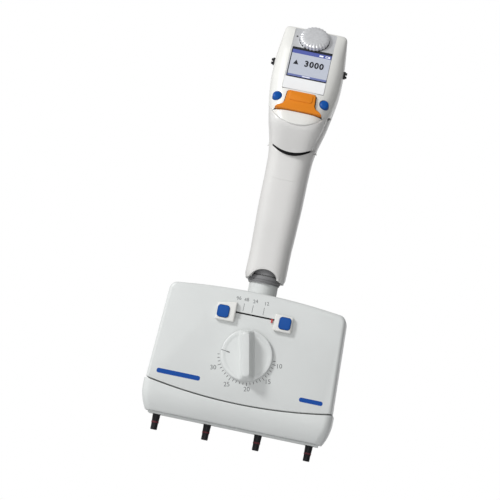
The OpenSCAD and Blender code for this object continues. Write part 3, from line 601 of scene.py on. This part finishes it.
FRONT_PLACE = Matrix.Translation(at(0, FRONT_Y, 0)) @ OUTWARD
KNOB_R = (knob_high.x - knob_low.x) / 2 / MM
KNOB_FACE = 2.6
INDEX_LEAN = -0.1
GRIP_LEAN = math.radians(11.7)
GRIP_TOP = (FRONT_Y * MM - knob_low.y) / MM

KNOB_ROUND = 0.9

disc_profile = ([(5, -2), (5, 0.55), (KNOB_R - KNOB_ROUND, 0.55), (KNOB_R, 0.9)]
                + arc(KNOB_R - KNOB_ROUND, KNOB_FACE - KNOB_ROUND, KNOB_ROUND, 0, 80, 4)
                + [(KNOB_R - KNOB_ROUND, KNOB_FACE), (KNOB_R - 2.6, KNOB_FACE), (KNOB_R - 2.9, KNOB_FACE - 0.14),
                   (KNOB_R - 3.2, KNOB_FACE - 0.16), (0, KNOB_FACE - 0.1)])
disc = lathe("knob_disc", disc_profile, FRONT_PLACE, 96)


def grip_bar():
    """The knob's grip: a bar whose flanks flare out to the disc and whose ends slope."""
    place = FRONT_PLACE @ Matrix.Rotation(GRIP_LEAN, 4, "Z")
    levels = [(KNOB_FACE - 0.3, 5.4, 15.9), (KNOB_FACE + 0.5, 4.5, 15.7), (KNOB_FACE + 2, 3.6, 15.3),
              (GRIP_TOP - 1.6, 2.5, 14.8), (GRIP_TOP - 0.5, 2.3, 14.2), (GRIP_TOP - 0.1, 2.0, 13.6),
              (GRIP_TOP, 1.5, 13.0)]
    rings = []
    for height, half_w, half_l in levels:
        outline = rounded_box(half_w, half_l, min(half_w * 0.85, 1.9), n=8)
        rings.append([place @ Vector((x * MM, y * MM, height * MM)) for x, y in outline])
    return rings_shape("knob_grip", rings)


knob = joined("spread_knob_shape", disc, grip_bar())
finish_piece(knob, WHITE, "knob", ["spread_knob"], sharp=30)


def text_piece(name, words, size, place, material, body, depth=0.04, weight=0.0):
    """Generic figures as thin raised print. place has X along the writing and Z out of the surface."""
    curve = bpy.data.curves.new(name, "FONT")
    curve.body = words
    curve.size = size * MM
    curve.align_x = "CENTER"
    curve.align_y = "CENTER"
    curve.extrude = depth * MM / 2
    curve.offset = weight * MM
    curve.space_character = 1.15 if weight else 1.0
    curve.resolution_u = 3
    obj = new_object(name + "_curve", curve)
    obj.matrix_world = place
    bpy.context.view_layer.update()
    mesh = bpy.data.meshes.new_from_object(obj.evaluated_get(bpy.context.evaluated_depsgraph_get()))
    mesh.transform(place)
    bpy.data.objects.remove(obj)
    piece = new_object(name, mesh)
    return finish_piece(piece, material, body)


def turned(outline, x, z, angle):
    """An outline turned by an angle and moved to x and z."""
    c, s = math.cos(angle), math.sin(angle)
    return [(x + px * c - pz * s, z + px * s + pz * c) for px, pz in outline]


def printed_bar(name, x, z, half_w, half_h, material, r=None):
    """A small rounded bar printed on the front cover."""
    outline = rounded_box(half_w, half_h, r or min(half_w, half_h) * 0.6, x, z, 3)
    return finish_piece(prism(name, outline, *PRINT_Y), material, "manifold")


def scale_angle(mark):
    """Where a spacing mark stands round the knob, seen from the front: 9 at the right, then down and round."""
    return -math.radians((mark - SPACING_MIN) * DEGREES_A_MM)


def cover_figure(name, words, size, x, z):
    """A printed figure on the front cover, leaning as the knob's grip does."""
    place = Matrix.Translation(at(x, FRONT_Y - 0.01, z)) @ OUTWARD @ Matrix.Rotation(GRIP_LEAN, 4, "Z")
    text_piece(name, words, size, place, INK, "manifold")


PRINT_Y = (FRONT_Y - 0.03, FRONT_Y + 0.05)
SPACING_MIN, SPACING_MAX = 9, 33
DEGREES_A_MM = 7.162

ticks = []
for mark in range(SPACING_MIN, SPACING_MAX + 1):
    a = scale_angle(mark)
    long = mark % 5 == 0
    r = KNOB_R + (1.75 if long else 1.35)
    bar = rounded_box(1.1 if long else 0.75, 0.17, 0.08, n=2)
    ticks.append(prism("tick", turned(bar, r * math.cos(a), r * math.sin(a), a), *PRINT_Y))
finish_piece(joined("spacing_scale_ticks", *ticks), TICK, "manifold")
for mark, x, z in ((10, 21.4, -2.6), (15, 16.4, -13.6), (20, 4.3, -20.9), (25, -8.7, -20.4),
                   (30, -19.3, -11.6)):
    cover_figure(f"scale_figure_{mark}", str(mark), 4.1, x, z)

knob_face_y = FRONT_Y - KNOB_FACE
for name, x, z, half_w, half_h, y0, y1 in (("line", -14.1, 0.2, 2.4, 0.18, -0.02, 0.2),
                                           ("label", -11.9, -0.15, 1.1, 0.3, 0.08, 0.3)):
    outline = turned(rounded_box(half_w, half_h, min(half_w, half_h) * 0.6, n=3), x, z, INDEX_LEAN)
    finish_piece(prism(f"knob_index_{name}", outline, knob_face_y + y0, knob_face_y + y1), INK, "knob")

# Plain blue bars in place of any words
for tag, x, half_w, half_h in (("left", -40, 14, 1.5), ("right", 45.6, 7.6, 1.4)):
    printed_bar(f"blue_bar_{tag}", x, -20.3, half_w, half_h, BLUE_INK, 1.2)

# ---- Slot marks and stops ----

for name, x in (("12", 5.3), ("24", -1.9), ("48", -7.6), ("96", -12.6)):
    cover_figure(f"slot_figure_{name}", name, 3.2, x + 0.3, 34.6)
for i, x in enumerate((-8.2, -2.5, 4.7)):
    printed_bar(f"slot_tick_{i}", x, 29.6, 0.14, 2.4, INK)


WELL_Z = 24.5
STOP_Y = FRONT_Y - 3
STOPS = {"left": (-20.2, [(-24.6, 18.8), (-12.45, 18.8), (-12.45, 32), (-24.6, 29.6)]),
         "right": (19.6, [(12.6, 18.8), (24.3, 18.8), (24.3, 29.4), (12.6, 29.8)])}


def stop(tag, well_x, outline):
    """A sliding stop: a wedge-topped block with a well whose floor is a black plate of painted shade, and a blue
    release button.
    """
    block = bevelled(prism(f"stop_body_{tag}", outline, STOP_Y, FRONT_Y - 0.15), 0.9, 5)
    cut(block, prism("well", rounded_box(3.95, 4.05, 2.1, well_x, WELL_Z), STOP_Y - 1, FRONT_Y - 1.2))
    finish_piece(block, BEZEL, f"{tag}_stop", [f"stop_block_{tag}"])
    # A black plate on the well's floor: painted shade for the thin gap round the button.
    rim = prism(f"stop_well_painted_shade_{tag}", rounded_box(3.9, 4, 2.05, well_x, WELL_Z), FRONT_Y - 1.25, FRONT_Y - 1.05)
    finish_piece(rim, DARK, f"{tag}_stop")
    button = prism(f"stop_key_{tag}", rounded_box(3.78, 3.88, 1.9, well_x, WELL_Z, 8),
                   STOP_Y - 0.9, FRONT_Y - 2.4)
    finish_piece(bevelled(button, 0.55, 4, 30), BLUE, f"{tag}_stop_key", [f"stop_button_{tag}"])


for tag, (well_x, outline) in STOPS.items():
    stop(tag, well_x, outline)

# ---- Handle ----

def section(z, turn, half, depth, split):
    """A point of a rounded half section: turn from 0 at +X to 180 degrees at -X."""
    power = 2 / straight(z, SQUARE)
    c, s = math.cos(turn), math.sin(turn)
    return math.copysign(half * abs(c) ** power, c), split + (depth - split) * abs(s) ** power


def at_section(turn, z_of, half_of, depth_of, split):
    """The point where the height depends on x: it settles in a few steps."""
    z = z_of(0.0)
    for _ in range(4):
        x, y = section(z, turn, half_of(z), depth_of(z), split)
        z = z_of(x)
    return x, y, z


def circle_low(x, cz, r):
    """Height of the lower half of a circle at x, or of its middle outside it."""
    return cz - math.sqrt(max(0.0, r * r - x * x))


def smile_z(x):
    """Height of the gap's lower edge under the thumb button."""
    return circle_low(min(abs(x), 22), THUMB_LOW_Z + THUMB_CURVE_R, THUMB_CURVE_R)


def grip_low_z(x):
    """Height of the grip's lower edge, arched over the neck."""
    return max(GRIP_LOW_Z, NECK_ARCH_Z + math.sqrt(max(0.0, NECK_ARCH_R ** 2 - x * x)))


def rim_round(z, radius=0.9):
    """How far the shell draws in as it rounds over its lower edge."""
    rise = max(0.0, GRIP_LOW_Z + radius - z)
    return radius - math.sqrt(max(0.0, radius * radius - rise * rise))


def ledge_drop(x):
    """How much the ledge under the thumb button dips in its middle."""
    return max(0.0, 1 - (x / 12.5) ** 2)


def grip_front_point(u, v):
    """A point of the grip's front: the bare grip up to the ledge, then the seat behind the thumb button."""
    stage = straight(v, [(0, 0), (LEDGE_V, 1), (LEDGE_V + 0.04, 1), (1, 2)])

    def z_of(x):
        ledge = smile_z(x) - 0.3 - 1.3 * ledge_drop(x)
        top = circle_low(x, MOUTH_Z, MOUTH_R + 0.3)
        low = grip_low_z(x)
        return low + (ledge - low) * min(stage, 1) + (max(top, ledge) - ledge) * max(0.0, stage - 1)

    def depth_of(z):
        return smooth(z, GRIP_BELOW) + rim_round(z) if v <= LEDGE_V else SEAT_Y

    return at_section(math.pi * u, z_of, lambda z: smooth(z, GRIP_W) - rim_round(z), depth_of, SPLIT_Y)


LEDGE_V = 0.62
SEAT_Y = -12
STEM_SLOT = rounded_box(2.6, 7, 0.5, 0, 141)

grip_front = grid_shell("grip_front", grip_front_point, 64, 50, 2.0)
cut(grip_front, prism("stem slot", STEM_SLOT, -20, -9))
bevelled(grip_front, 0.3, 2, 60)
finish_piece(grip_front, GRIP, "handle", ["grip_front_shell"], sharp=40)


def well_point(u, v):
    """A black sheet on the face behind the thumb button: painted shade for the gap under it."""
    x = 12.3 * (2 * u - 1)
    z = smile_z(x) - 0.2 - 1.35 * ledge_drop(x) + 9 * v
    n = straight(z, SQUARE)
    return x, SPLIT_Y + (SEAT_Y - 0.12 - SPLIT_Y) * (1 - abs(x / smooth(z, GRIP_W)) ** n) ** (1 / n), z


# The thumb well is a black sheet of painted shade in the gap under the thumb button.
well = grid_shell("thumb_gap_painted_shade", well_point, 32, 8, 0.08)
cut(well, prism("stem slot", STEM_SLOT, -20, -9))
finish_piece(well, DARK, "handle")


def back_point(u, v):
    """A point of the back shell, which closes over the head's top in its last rows."""
    top = HEAD_TOP_Z
    if v > TOP_V:
        close = (v - TOP_V) / (1 - TOP_V)
        half, depth = straight(top, GRIP_W) - TOP_ROUND, straight(top, BACK) - TOP_ROUND
        x, y = section(top, math.pi * u, half, depth, SPLIT_Y)
        return x * (1 - close * 0.9), SPLIT_Y + (y - SPLIT_Y) * (1 - close), top
    z = GRIP_LOW_Z + (top - GRIP_LOW_Z) * math.sin(v / TOP_V * math.pi / 2) ** 0.85
    draw = top_round(z) + rim_round(z)
    x, y = section(z, math.pi * u, smooth(z, GRIP_W) - draw, smooth(z, BACK) - draw, SPLIT_Y)
    return x, y, z


TOP_V = 0.94
back = grid_shell("grip_back", back_point, 64, 80, 2.0)
cut(back, *[screw_seat(x, straight(z, BACK), z) for x, z in HANDLE_SCREWS])
finish_piece(back, GRIP, "handle", ["back_shell"], sharp=40)


def bezel_depth(z):
    """The head's front averaged over a short stretch, which rounds its crease."""
    return sum(head_front(z + s * 2.2) for s in SMOOTH_STEPS) / len(SMOOTH_STEPS)


def bezel_point(u, v):
    """A point of the bezel, from its round lower edge to the head's top."""
    t = math.sin(v * math.pi / 2)

    def z_of(x):
        low = circle_low(x, MOUTH_Z, MOUTH_R)
        return low + (HEAD_TOP_Z - low) * t

    def depth_of(z):
        return min(bezel_depth(max(z, HEAD_LOW_Z)) + top_round(z) * 0.35, SPLIT_Y - 0.3)

    return at_section(math.pi * u, z_of, lambda z: smooth(z, GRIP_W) - top_round(z), depth_of, SPLIT_Y)


def face_up(z):
    """Distance up the display's face from the panel's lower edge to a height."""
    return (z - PANEL_LOW_Z) / math.cos(FACE_TILT)


SLOPE_LEN = (HEAD_TOP_Z - CREASE_Z) / math.cos(DIAL_TILT) - 0.6
FACE_LEN = face_up(CREASE_Z)
HAT = [(-15.2, -6.5), (15.2, -6.5), (13.6, -4.7), (10.6, -3.2), (9.7, -1.4), (9.2, 5.6), (8, 6.7), (-8, 6.7),
       (-9.2, 5.6), (-9.7, -1.4), (-10.6, -3.2), (-13.6, -4.7)]


def hat(grow):
    """The rocker's outline, a brim below and a crown above, grown on all sides."""
    points = []
    for x, z in HAT:
        brim = z < -6
        rise = -grow if brim else (grow if abs(x) < 14 else 0)
        points.append((x + math.copysign(grow * (1.8 if brim else 1), x), z + rise))
    return points


bezel = grid_shell("head_bezel_shell", bezel_point, 72, 60, 1.2)
panel_box = rounded_box(PANEL_HALF + 0.08, (FACE_LEN + 0.6) / 2, 0.6, 0, (FACE_LEN - 0.1) / 2)
slope_box = rounded_box(PANEL_HALF + 0.08, (SLOPE_LEN + 1) / 2, 0.6, 0, (SLOPE_LEN - 0.8) / 2)
cut(bezel,
    prism("face window", panel_box, -4, 6, face_place(PANEL_LOW_Z)),
    prism("slope window", slope_box, -4, 4, slope_place(CREASE_Z)),
    prism("rocker window", hat(0.5), -5, 9, face_place(ROCKER_Z)),
    *[lathe("key hole", [(0, -9), (KEY_HOLE_R, -9), (KEY_HOLE_R, 4), (0, 4)],
            face_place(KEY_Z, side * KEY_X) @ OUTWARD, 40) for side in (-1, 1)])
bevelled(bezel, 0.15, 2, 50)
rim = [bezel_point(i / 48, 1)[:2] for i in range(49)]
lid = rings_shape("head_lid", [[at(x * 0.98, y, HEAD_TOP_Z - 1.3) for x, y in rim],
                               [at(x, y, HEAD_TOP_Z) for x, y in rim]])
cut(lid, prism("slope window", slope_box, -4, 4, slope_place(CREASE_Z)))
finish_piece(lid, BEZEL, "handle")
finish_piece(bezel, BEZEL, "handle", ["head_bezel"], sharp=40)


def thumb_point(u, v):
    """A point of the thumb button, from its curved lower edge to the bezel's round one."""
    def z_of(x):
        low = smile_z(x)
        return low + (circle_low(x, MOUTH_Z, MOUTH_R + 0.12) - low) * v

    return at_section(math.pi * u, z_of, lambda z: smooth(z, THUMB_W, 1.5),
                      lambda z: smooth(z, THUMB_FRONT, 2.5), THUMB_SPLIT_Y)


thumb = grid_shell("thumb_button", thumb_point, 56, 22, 1.8)
bevelled(thumb, 0.25, 2, 45)
stem = prism("thumb_stem", rounded_box(2, 1.5, 0.3, 0, 143.5), -22.5, -6.8)
finish_piece(joined("ejector_thumb_button", thumb, stem), GRIP, "ejector_thumb",
             ["ejector_button"], sharp=40)


def grip_surface(x, z):
    """The depth of the grip's front surface at x and z."""
    n = straight(z, SQUARE)
    reach = (1 - min(1.0, abs(x) / smooth(z, GRIP_W)) ** n) ** (1 / n)
    return SPLIT_Y + (smooth(z, GRIP_BELOW) - SPLIT_Y) * reach


def grip_line_point(u, v):
    """A point of the shallow line across the grip."""
    x = 8.5 * (2 * u - 1)
    z = 114.4 + 0.012 * x * x + 0.5 * (v - 0.5)
    return x, grip_surface(x, z) - 0.14 + 0.28 * abs(v - 0.5), z


grip_line = grid_shell("grip_relief_line", grip_line_point, 28, 4, 0.2)
finish_piece(grip_line, GRIP, "handle")

hook_outline = ([(16, 136.5), (16, 150)] + arc(26, 142, 8, 82, 0, 12)
                + [(34, 130.5), (33.4, 129.3), (31.6, 129.3), (31, 130.5)]
                + arc(27, 137.5, 4, 0, 90, 8) + [(22, 141.5), (19.5, 139.5)])
sideways = Matrix.Translation(at(0, 0, 0)) @ Matrix.Rotation(math.radians(90), 4, "Z")
hook = prism("finger_hook_arm", hook_outline, -8, 8, sideways)
bevelled(hook, 0.9, 4, 40)
finish_piece(hook, GRIP, "handle", ["finger_hook"], sharp=50)

# ---- Panel, display and dial ----

PANEL_Y = (0.6, 1.9)
face_plane = face_place(PANEL_LOW_Z)
dial_place = slope_place(DIAL_Z) @ OUTWARD
panel = prism("panel_face", rounded_box(PANEL_HALF, FACE_LEN / 2, 0.5, 0, FACE_LEN / 2), *PANEL_Y, face_plane)
slope = prism("panel_slope", rounded_box(PANEL_HALF, SLOPE_LEN / 2, 0.5, 0, SLOPE_LEN / 2), *PANEL_Y,
              slope_place(CREASE_Z))
cut(slope, lathe("dial hole", [(0, -4), (5.4, -4), (5.4, 4), (0, 4)], dial_place, 48))
finish_piece(joined("silver_panel_plate", panel, slope), SILVER, "handle", ["display_panel"])


def on_panel(name, x0, x1, z0, z1, y, material, r=0.3, depth=0.12, replaces=()):
    """A flat patch of the display between two heights, its face at depth y of the face's frame."""
    low, high = face_up(z0), face_up(z1)
    outline = rounded_box((x1 - x0) / 2, (high - low) / 2, r, (x0 + x1) / 2, (low + high) / 2, 4)
    patch = prism(name, outline, y, y + depth, face_plane)
    return finish_piece(patch, material, "handle", replaces)


on_panel("panel_white_strip", -13.3, 13.3, 172.2, 179.9, 0.5, STRIP)
on_panel("display_surround", -12.6, 13.35, 180, 200.1, 0.5, LCD_BLACK, r=0.5, depth=0.2,
         replaces=["display_screen"])
on_panel("display_field", -12, 13.2, 182, 195.9, 0.44, LCD, depth=0.1)
on_panel("display_title", -12, 13.2, 195.9, 198.4, 0.44, LCD_TITLE, depth=0.1)
on_panel("display_line", -12, 13.2, 180.7, 182, 0.44, LCD_LINE, depth=0.1)
on_panel("display_battery", 9.4, 12.4, 196.4, 197.6, 0.39, LCD_WHITE, depth=0.06)
on_panel("display_battery_fill", 9.8, 11.2, 196.7, 197.3, 0.36, LCD_TITLE, depth=0.05)
on_panel("display_bar", 5.4, 8, 196.5, 197.5, 0.39, LCD_WHITE, depth=0.06)
on_panel("display_mark", -2.5, 2.5, 181.1, 181.6, 0.39, LCD_WHITE, depth=0.06, r=0.2)
arrow_points = [(-10, face_up(188.6)), (-6.6, face_up(188.6)), (-8.3, face_up(191.6))]
arrow = prism("display_arrow", arrow_points, 0.38, 0.44, face_plane)
finish_piece(arrow, LCD_BLACK, "handle")
figures_at = Matrix.Translation(Vector((3.4 * MM, 0.4 * MM, face_up(189.9) * MM)))
text_piece("display_figures", "3000", 5.6, face_plane @ figures_at @ OUTWARD, LCD_BLACK, "handle",
           weight=0.22)


def ribbed_disc(name, profile, ribs, place):
    """A turned disc whose rim is scalloped; each profile entry is radius, height and depth of the scallops."""
    count = ribs * 8
    rings = []
    for r, h, scallop in profile:
        rings.append([])
        for k in range(count):
            a = 2 * math.pi * k / count
            reach = r - scallop * (1 - abs(math.sin(ribs * a / 2)) ** 0.7)
            rings[-1].append(place @ Vector((reach * MM * math.cos(a), reach * MM * math.sin(a), h * MM)))
    return rings_shape(name, rings)


dial_profile = [(4.8, -1.2, 0), (DIAL_R - 0.3, -1.2, 0.5), (DIAL_R, -0.9, 0.6), (DIAL_R, 1.9, 0.6),
                (DIAL_R - 0.25, 2.4, 0.6), (DIAL_R - 0.8, 2.75, 0.7), (DIAL_R - 2, 3.05, 0.8),
                (DIAL_R - 3.2, 3.2, 0.5), (DIAL_R - 4, 3.26, 0), (1, 3.3, 0)]
dial = ribbed_disc("dial_face", dial_profile, DIAL_RIBS, dial_place)
finish_piece(dial, DIAL, "selector", ["selector_dial"], sharp=28)
dot = lathe("dial_index_dot", [(0, -0.7), (0.6, -0.7), (0.6, -0.45), (0, -0.4)],
            dial_place @ Matrix.Translation(Vector((-11.3 * MM, 0.8 * MM, 0))), 24)
finish_piece(dot, DARK, "handle")
collar_profile = [(5.35, -1.9), (DIAL_R + 0.5, -1.5), (DIAL_R + 0.5, -0.7), (DIAL_R + 0.1, -0.5), (5.35, -0.5)]
collar = lathe("dial_collar", collar_profile, dial_place, 72, closed=True)
finish_piece(collar, DARK, "handle")

# ---- Keys ----

key_face = face_place(ROCKER_Z)
wings = bevelled(prism("rocker_shape", hat(0), -1.6, 2.6, key_face), 0.55, 4, 25)
pad = bevelled(prism("rocker_pad", rounded_box(7.6, 2.9, 1.4, 0, 2.8, 6), -2.1, 0, key_face), 0.45, 3, 25)
rocker = joined("rocker_key_shape", wings, pad)
finish_piece(rocker, ORANGE, "rocker_key", ["rocker"], sharp=50)
dome = [(KEY_R * math.cos(math.radians(b)), 1.1 * math.sin(math.radians(b)) - 1.6) for b in range(15, 91, 15)]
for side, tag in ((-1, "left"), (1, "right")):
    key = lathe(f"key_{tag}", [(0, -8.4), (KEY_R, -8.4), (KEY_R, -1.6)] + dome,
                face_place(KEY_Z, side * KEY_X) @ OUTWARD, 48)
    finish_piece(key, BLUE, f"{tag}_key", [f"softkey_{tag}"])

# ---- Coupling, spring ----

coupling_profile = [(8.2, 47.7), (10, 47.7), (10, 48.5), (10.4, 48.7), (10.5, 49), (10.5, 49.3), (10.1, 49.5),
                    (10.1, 50), (10.5, 50.2), (10.5, 52.2), (10.3, 52.4), (8.2, 52.4)]
coupling = lathe("coupling_ring_turned", coupling_profile, Matrix.Translation(at(0, 0, 0)), 96, closed=True)
finish_piece(coupling, GREY, "manifold", ["coupling_ring"])

spring_low, spring_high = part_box("ejector_spring")
SPRING_WIRE = 0.35 * MM
TURNS = 8
TURN_STEPS = 24
WIRE_SIDES = 10
axis_y = (spring_low.y + spring_high.y) / 2
coil_r = (spring_high.x - spring_low.x) / 2 - SPRING_WIRE
coil_height = spring_high.z - spring_low.z - 2 * SPRING_WIRE
rings = []
for i in range(TURNS * TURN_STEPS + 1):
    a = 2 * math.pi * i / TURN_STEPS
    rise = spring_low.z + SPRING_WIRE + coil_height * i / (TURNS * TURN_STEPS)
    rings.append([])
    for b in [2 * math.pi * k / WIRE_SIDES for k in range(WIRE_SIDES)]:
        reach = coil_r + SPRING_WIRE * math.cos(b)
        rings[-1].append((reach * math.cos(a), axis_y + reach * math.sin(a), rise + SPRING_WIRE * math.sin(b)))
spring = finish_piece(rings_shape("ejector_spring_coil", rings), STEEL, "handle", ["ejector_spring"])
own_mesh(spring)

# ---- Stage ----

FLOOR_DROP = 0.24
bpy.ops.mesh.primitive_plane_add(size=30, location=(0, 0, KNOB_Z - FLOOR_DROP))
floor = bpy.context.object
floor.name = "floor"
floor_look = Nodes("floor", Roughness=0.8)
floor_look.colour(floor_look.ramp(floor_look.noise(3), (0.78, 0.78, 0.79), (0.82, 0.82, 0.83)))
floor.data.materials.append(floor_look.material)

world = bpy.data.worlds.new("studio")
bpy.context.scene.world = world
world.use_nodes = True
sky = world.node_tree
sky.nodes["Background"].inputs["Color"].default_value = (1, 1, 1, 1)
way = sky.nodes.new("ShaderNodeTexCoord").outputs["Generated"]


def toward(direction, low, high, from_low=-1.0):
    """A value that grows as the sky's direction turns toward the given one."""
    dot = sky.nodes.new("ShaderNodeVectorMath")
    dot.operation = "DOT_PRODUCT"
    dot.inputs[1].default_value = Vector(direction).normalized()
    sky.links.new(way, dot.inputs[0])
    span = sky.nodes.new("ShaderNodeMapRange")
    span.inputs["From Min"].default_value = from_low
    span.inputs["To Min"].default_value = low
    span.inputs["To Max"].default_value = high
    sky.links.new(dot.outputs["Value"], span.inputs["Value"])
    return span.outputs["Result"]


# The sky is brightest to the upper left, with a white field straight behind the object
total = sky.nodes.new("ShaderNodeMath")
sky.links.new(toward((-0.8, -0.4, 0.45), 0.06, 0.58), total.inputs[0])
sky.links.new(toward((0, 1, 0.05), 0, 12, 0.9), total.inputs[1])
total.use_clamp = True
sky.links.new(total.outputs["Value"], sky.nodes["Background"].inputs["Strength"])
bpy.context.scene.view_settings.view_transform = "Standard"


def lamp(name, place, aim, size, watts):
    """A round area light that faces its aim."""
    data = bpy.data.lights.new(name, "AREA")
    data.shape = "DISK"
    data.size = size
    data.energy = watts
    obj = bpy.data.objects.new(name, data)
    bpy.context.scene.collection.objects.link(obj)
    obj.location = place
    obj.rotation_euler = (Vector(aim) - Vector(place)).to_track_quat("-Z", "Y").to_euler()


middle = Vector((0, 0, KNOB_Z + 0.08))
lamp("key light", middle + Vector((-1.1, -1.0, 0.75)), middle, 0.35, 16)
lamp("fill light", middle + Vector((-0.1, -1.5, 0.1)), middle, 0.8, 2.5)

# ---- Camera ----

AZIMUTH = math.radians(3.5)
ELEVATION = math.radians(-4.5)
ROLL = math.radians(11.95)
DISTANCE = 3.0
SENSOR = 36
VIEW_WIDTH = 0.3165
back_way = Vector((math.sin(AZIMUTH) * math.cos(ELEVATION), -math.cos(AZIMUTH) * math.cos(ELEVATION),
                   math.sin(ELEVATION)))
camera = bpy.data.cameras.new("camera")
camera.lens = SENSOR * DISTANCE / VIEW_WIDTH
view = bpy.data.objects.new("camera", camera)
bpy.context.scene.collection.objects.link(view)
view.location = at(-11.84, FRONT_Y, 65.98) + back_way * DISTANCE
view.rotation_mode = "QUATERNION"
up_roll = Matrix.Rotation(ROLL, 4, "Z").to_quaternion()
view.rotation_quaternion = (-back_way).to_track_quat("-Z", "Y") @ up_roll
bpy.context.scene.camera = view
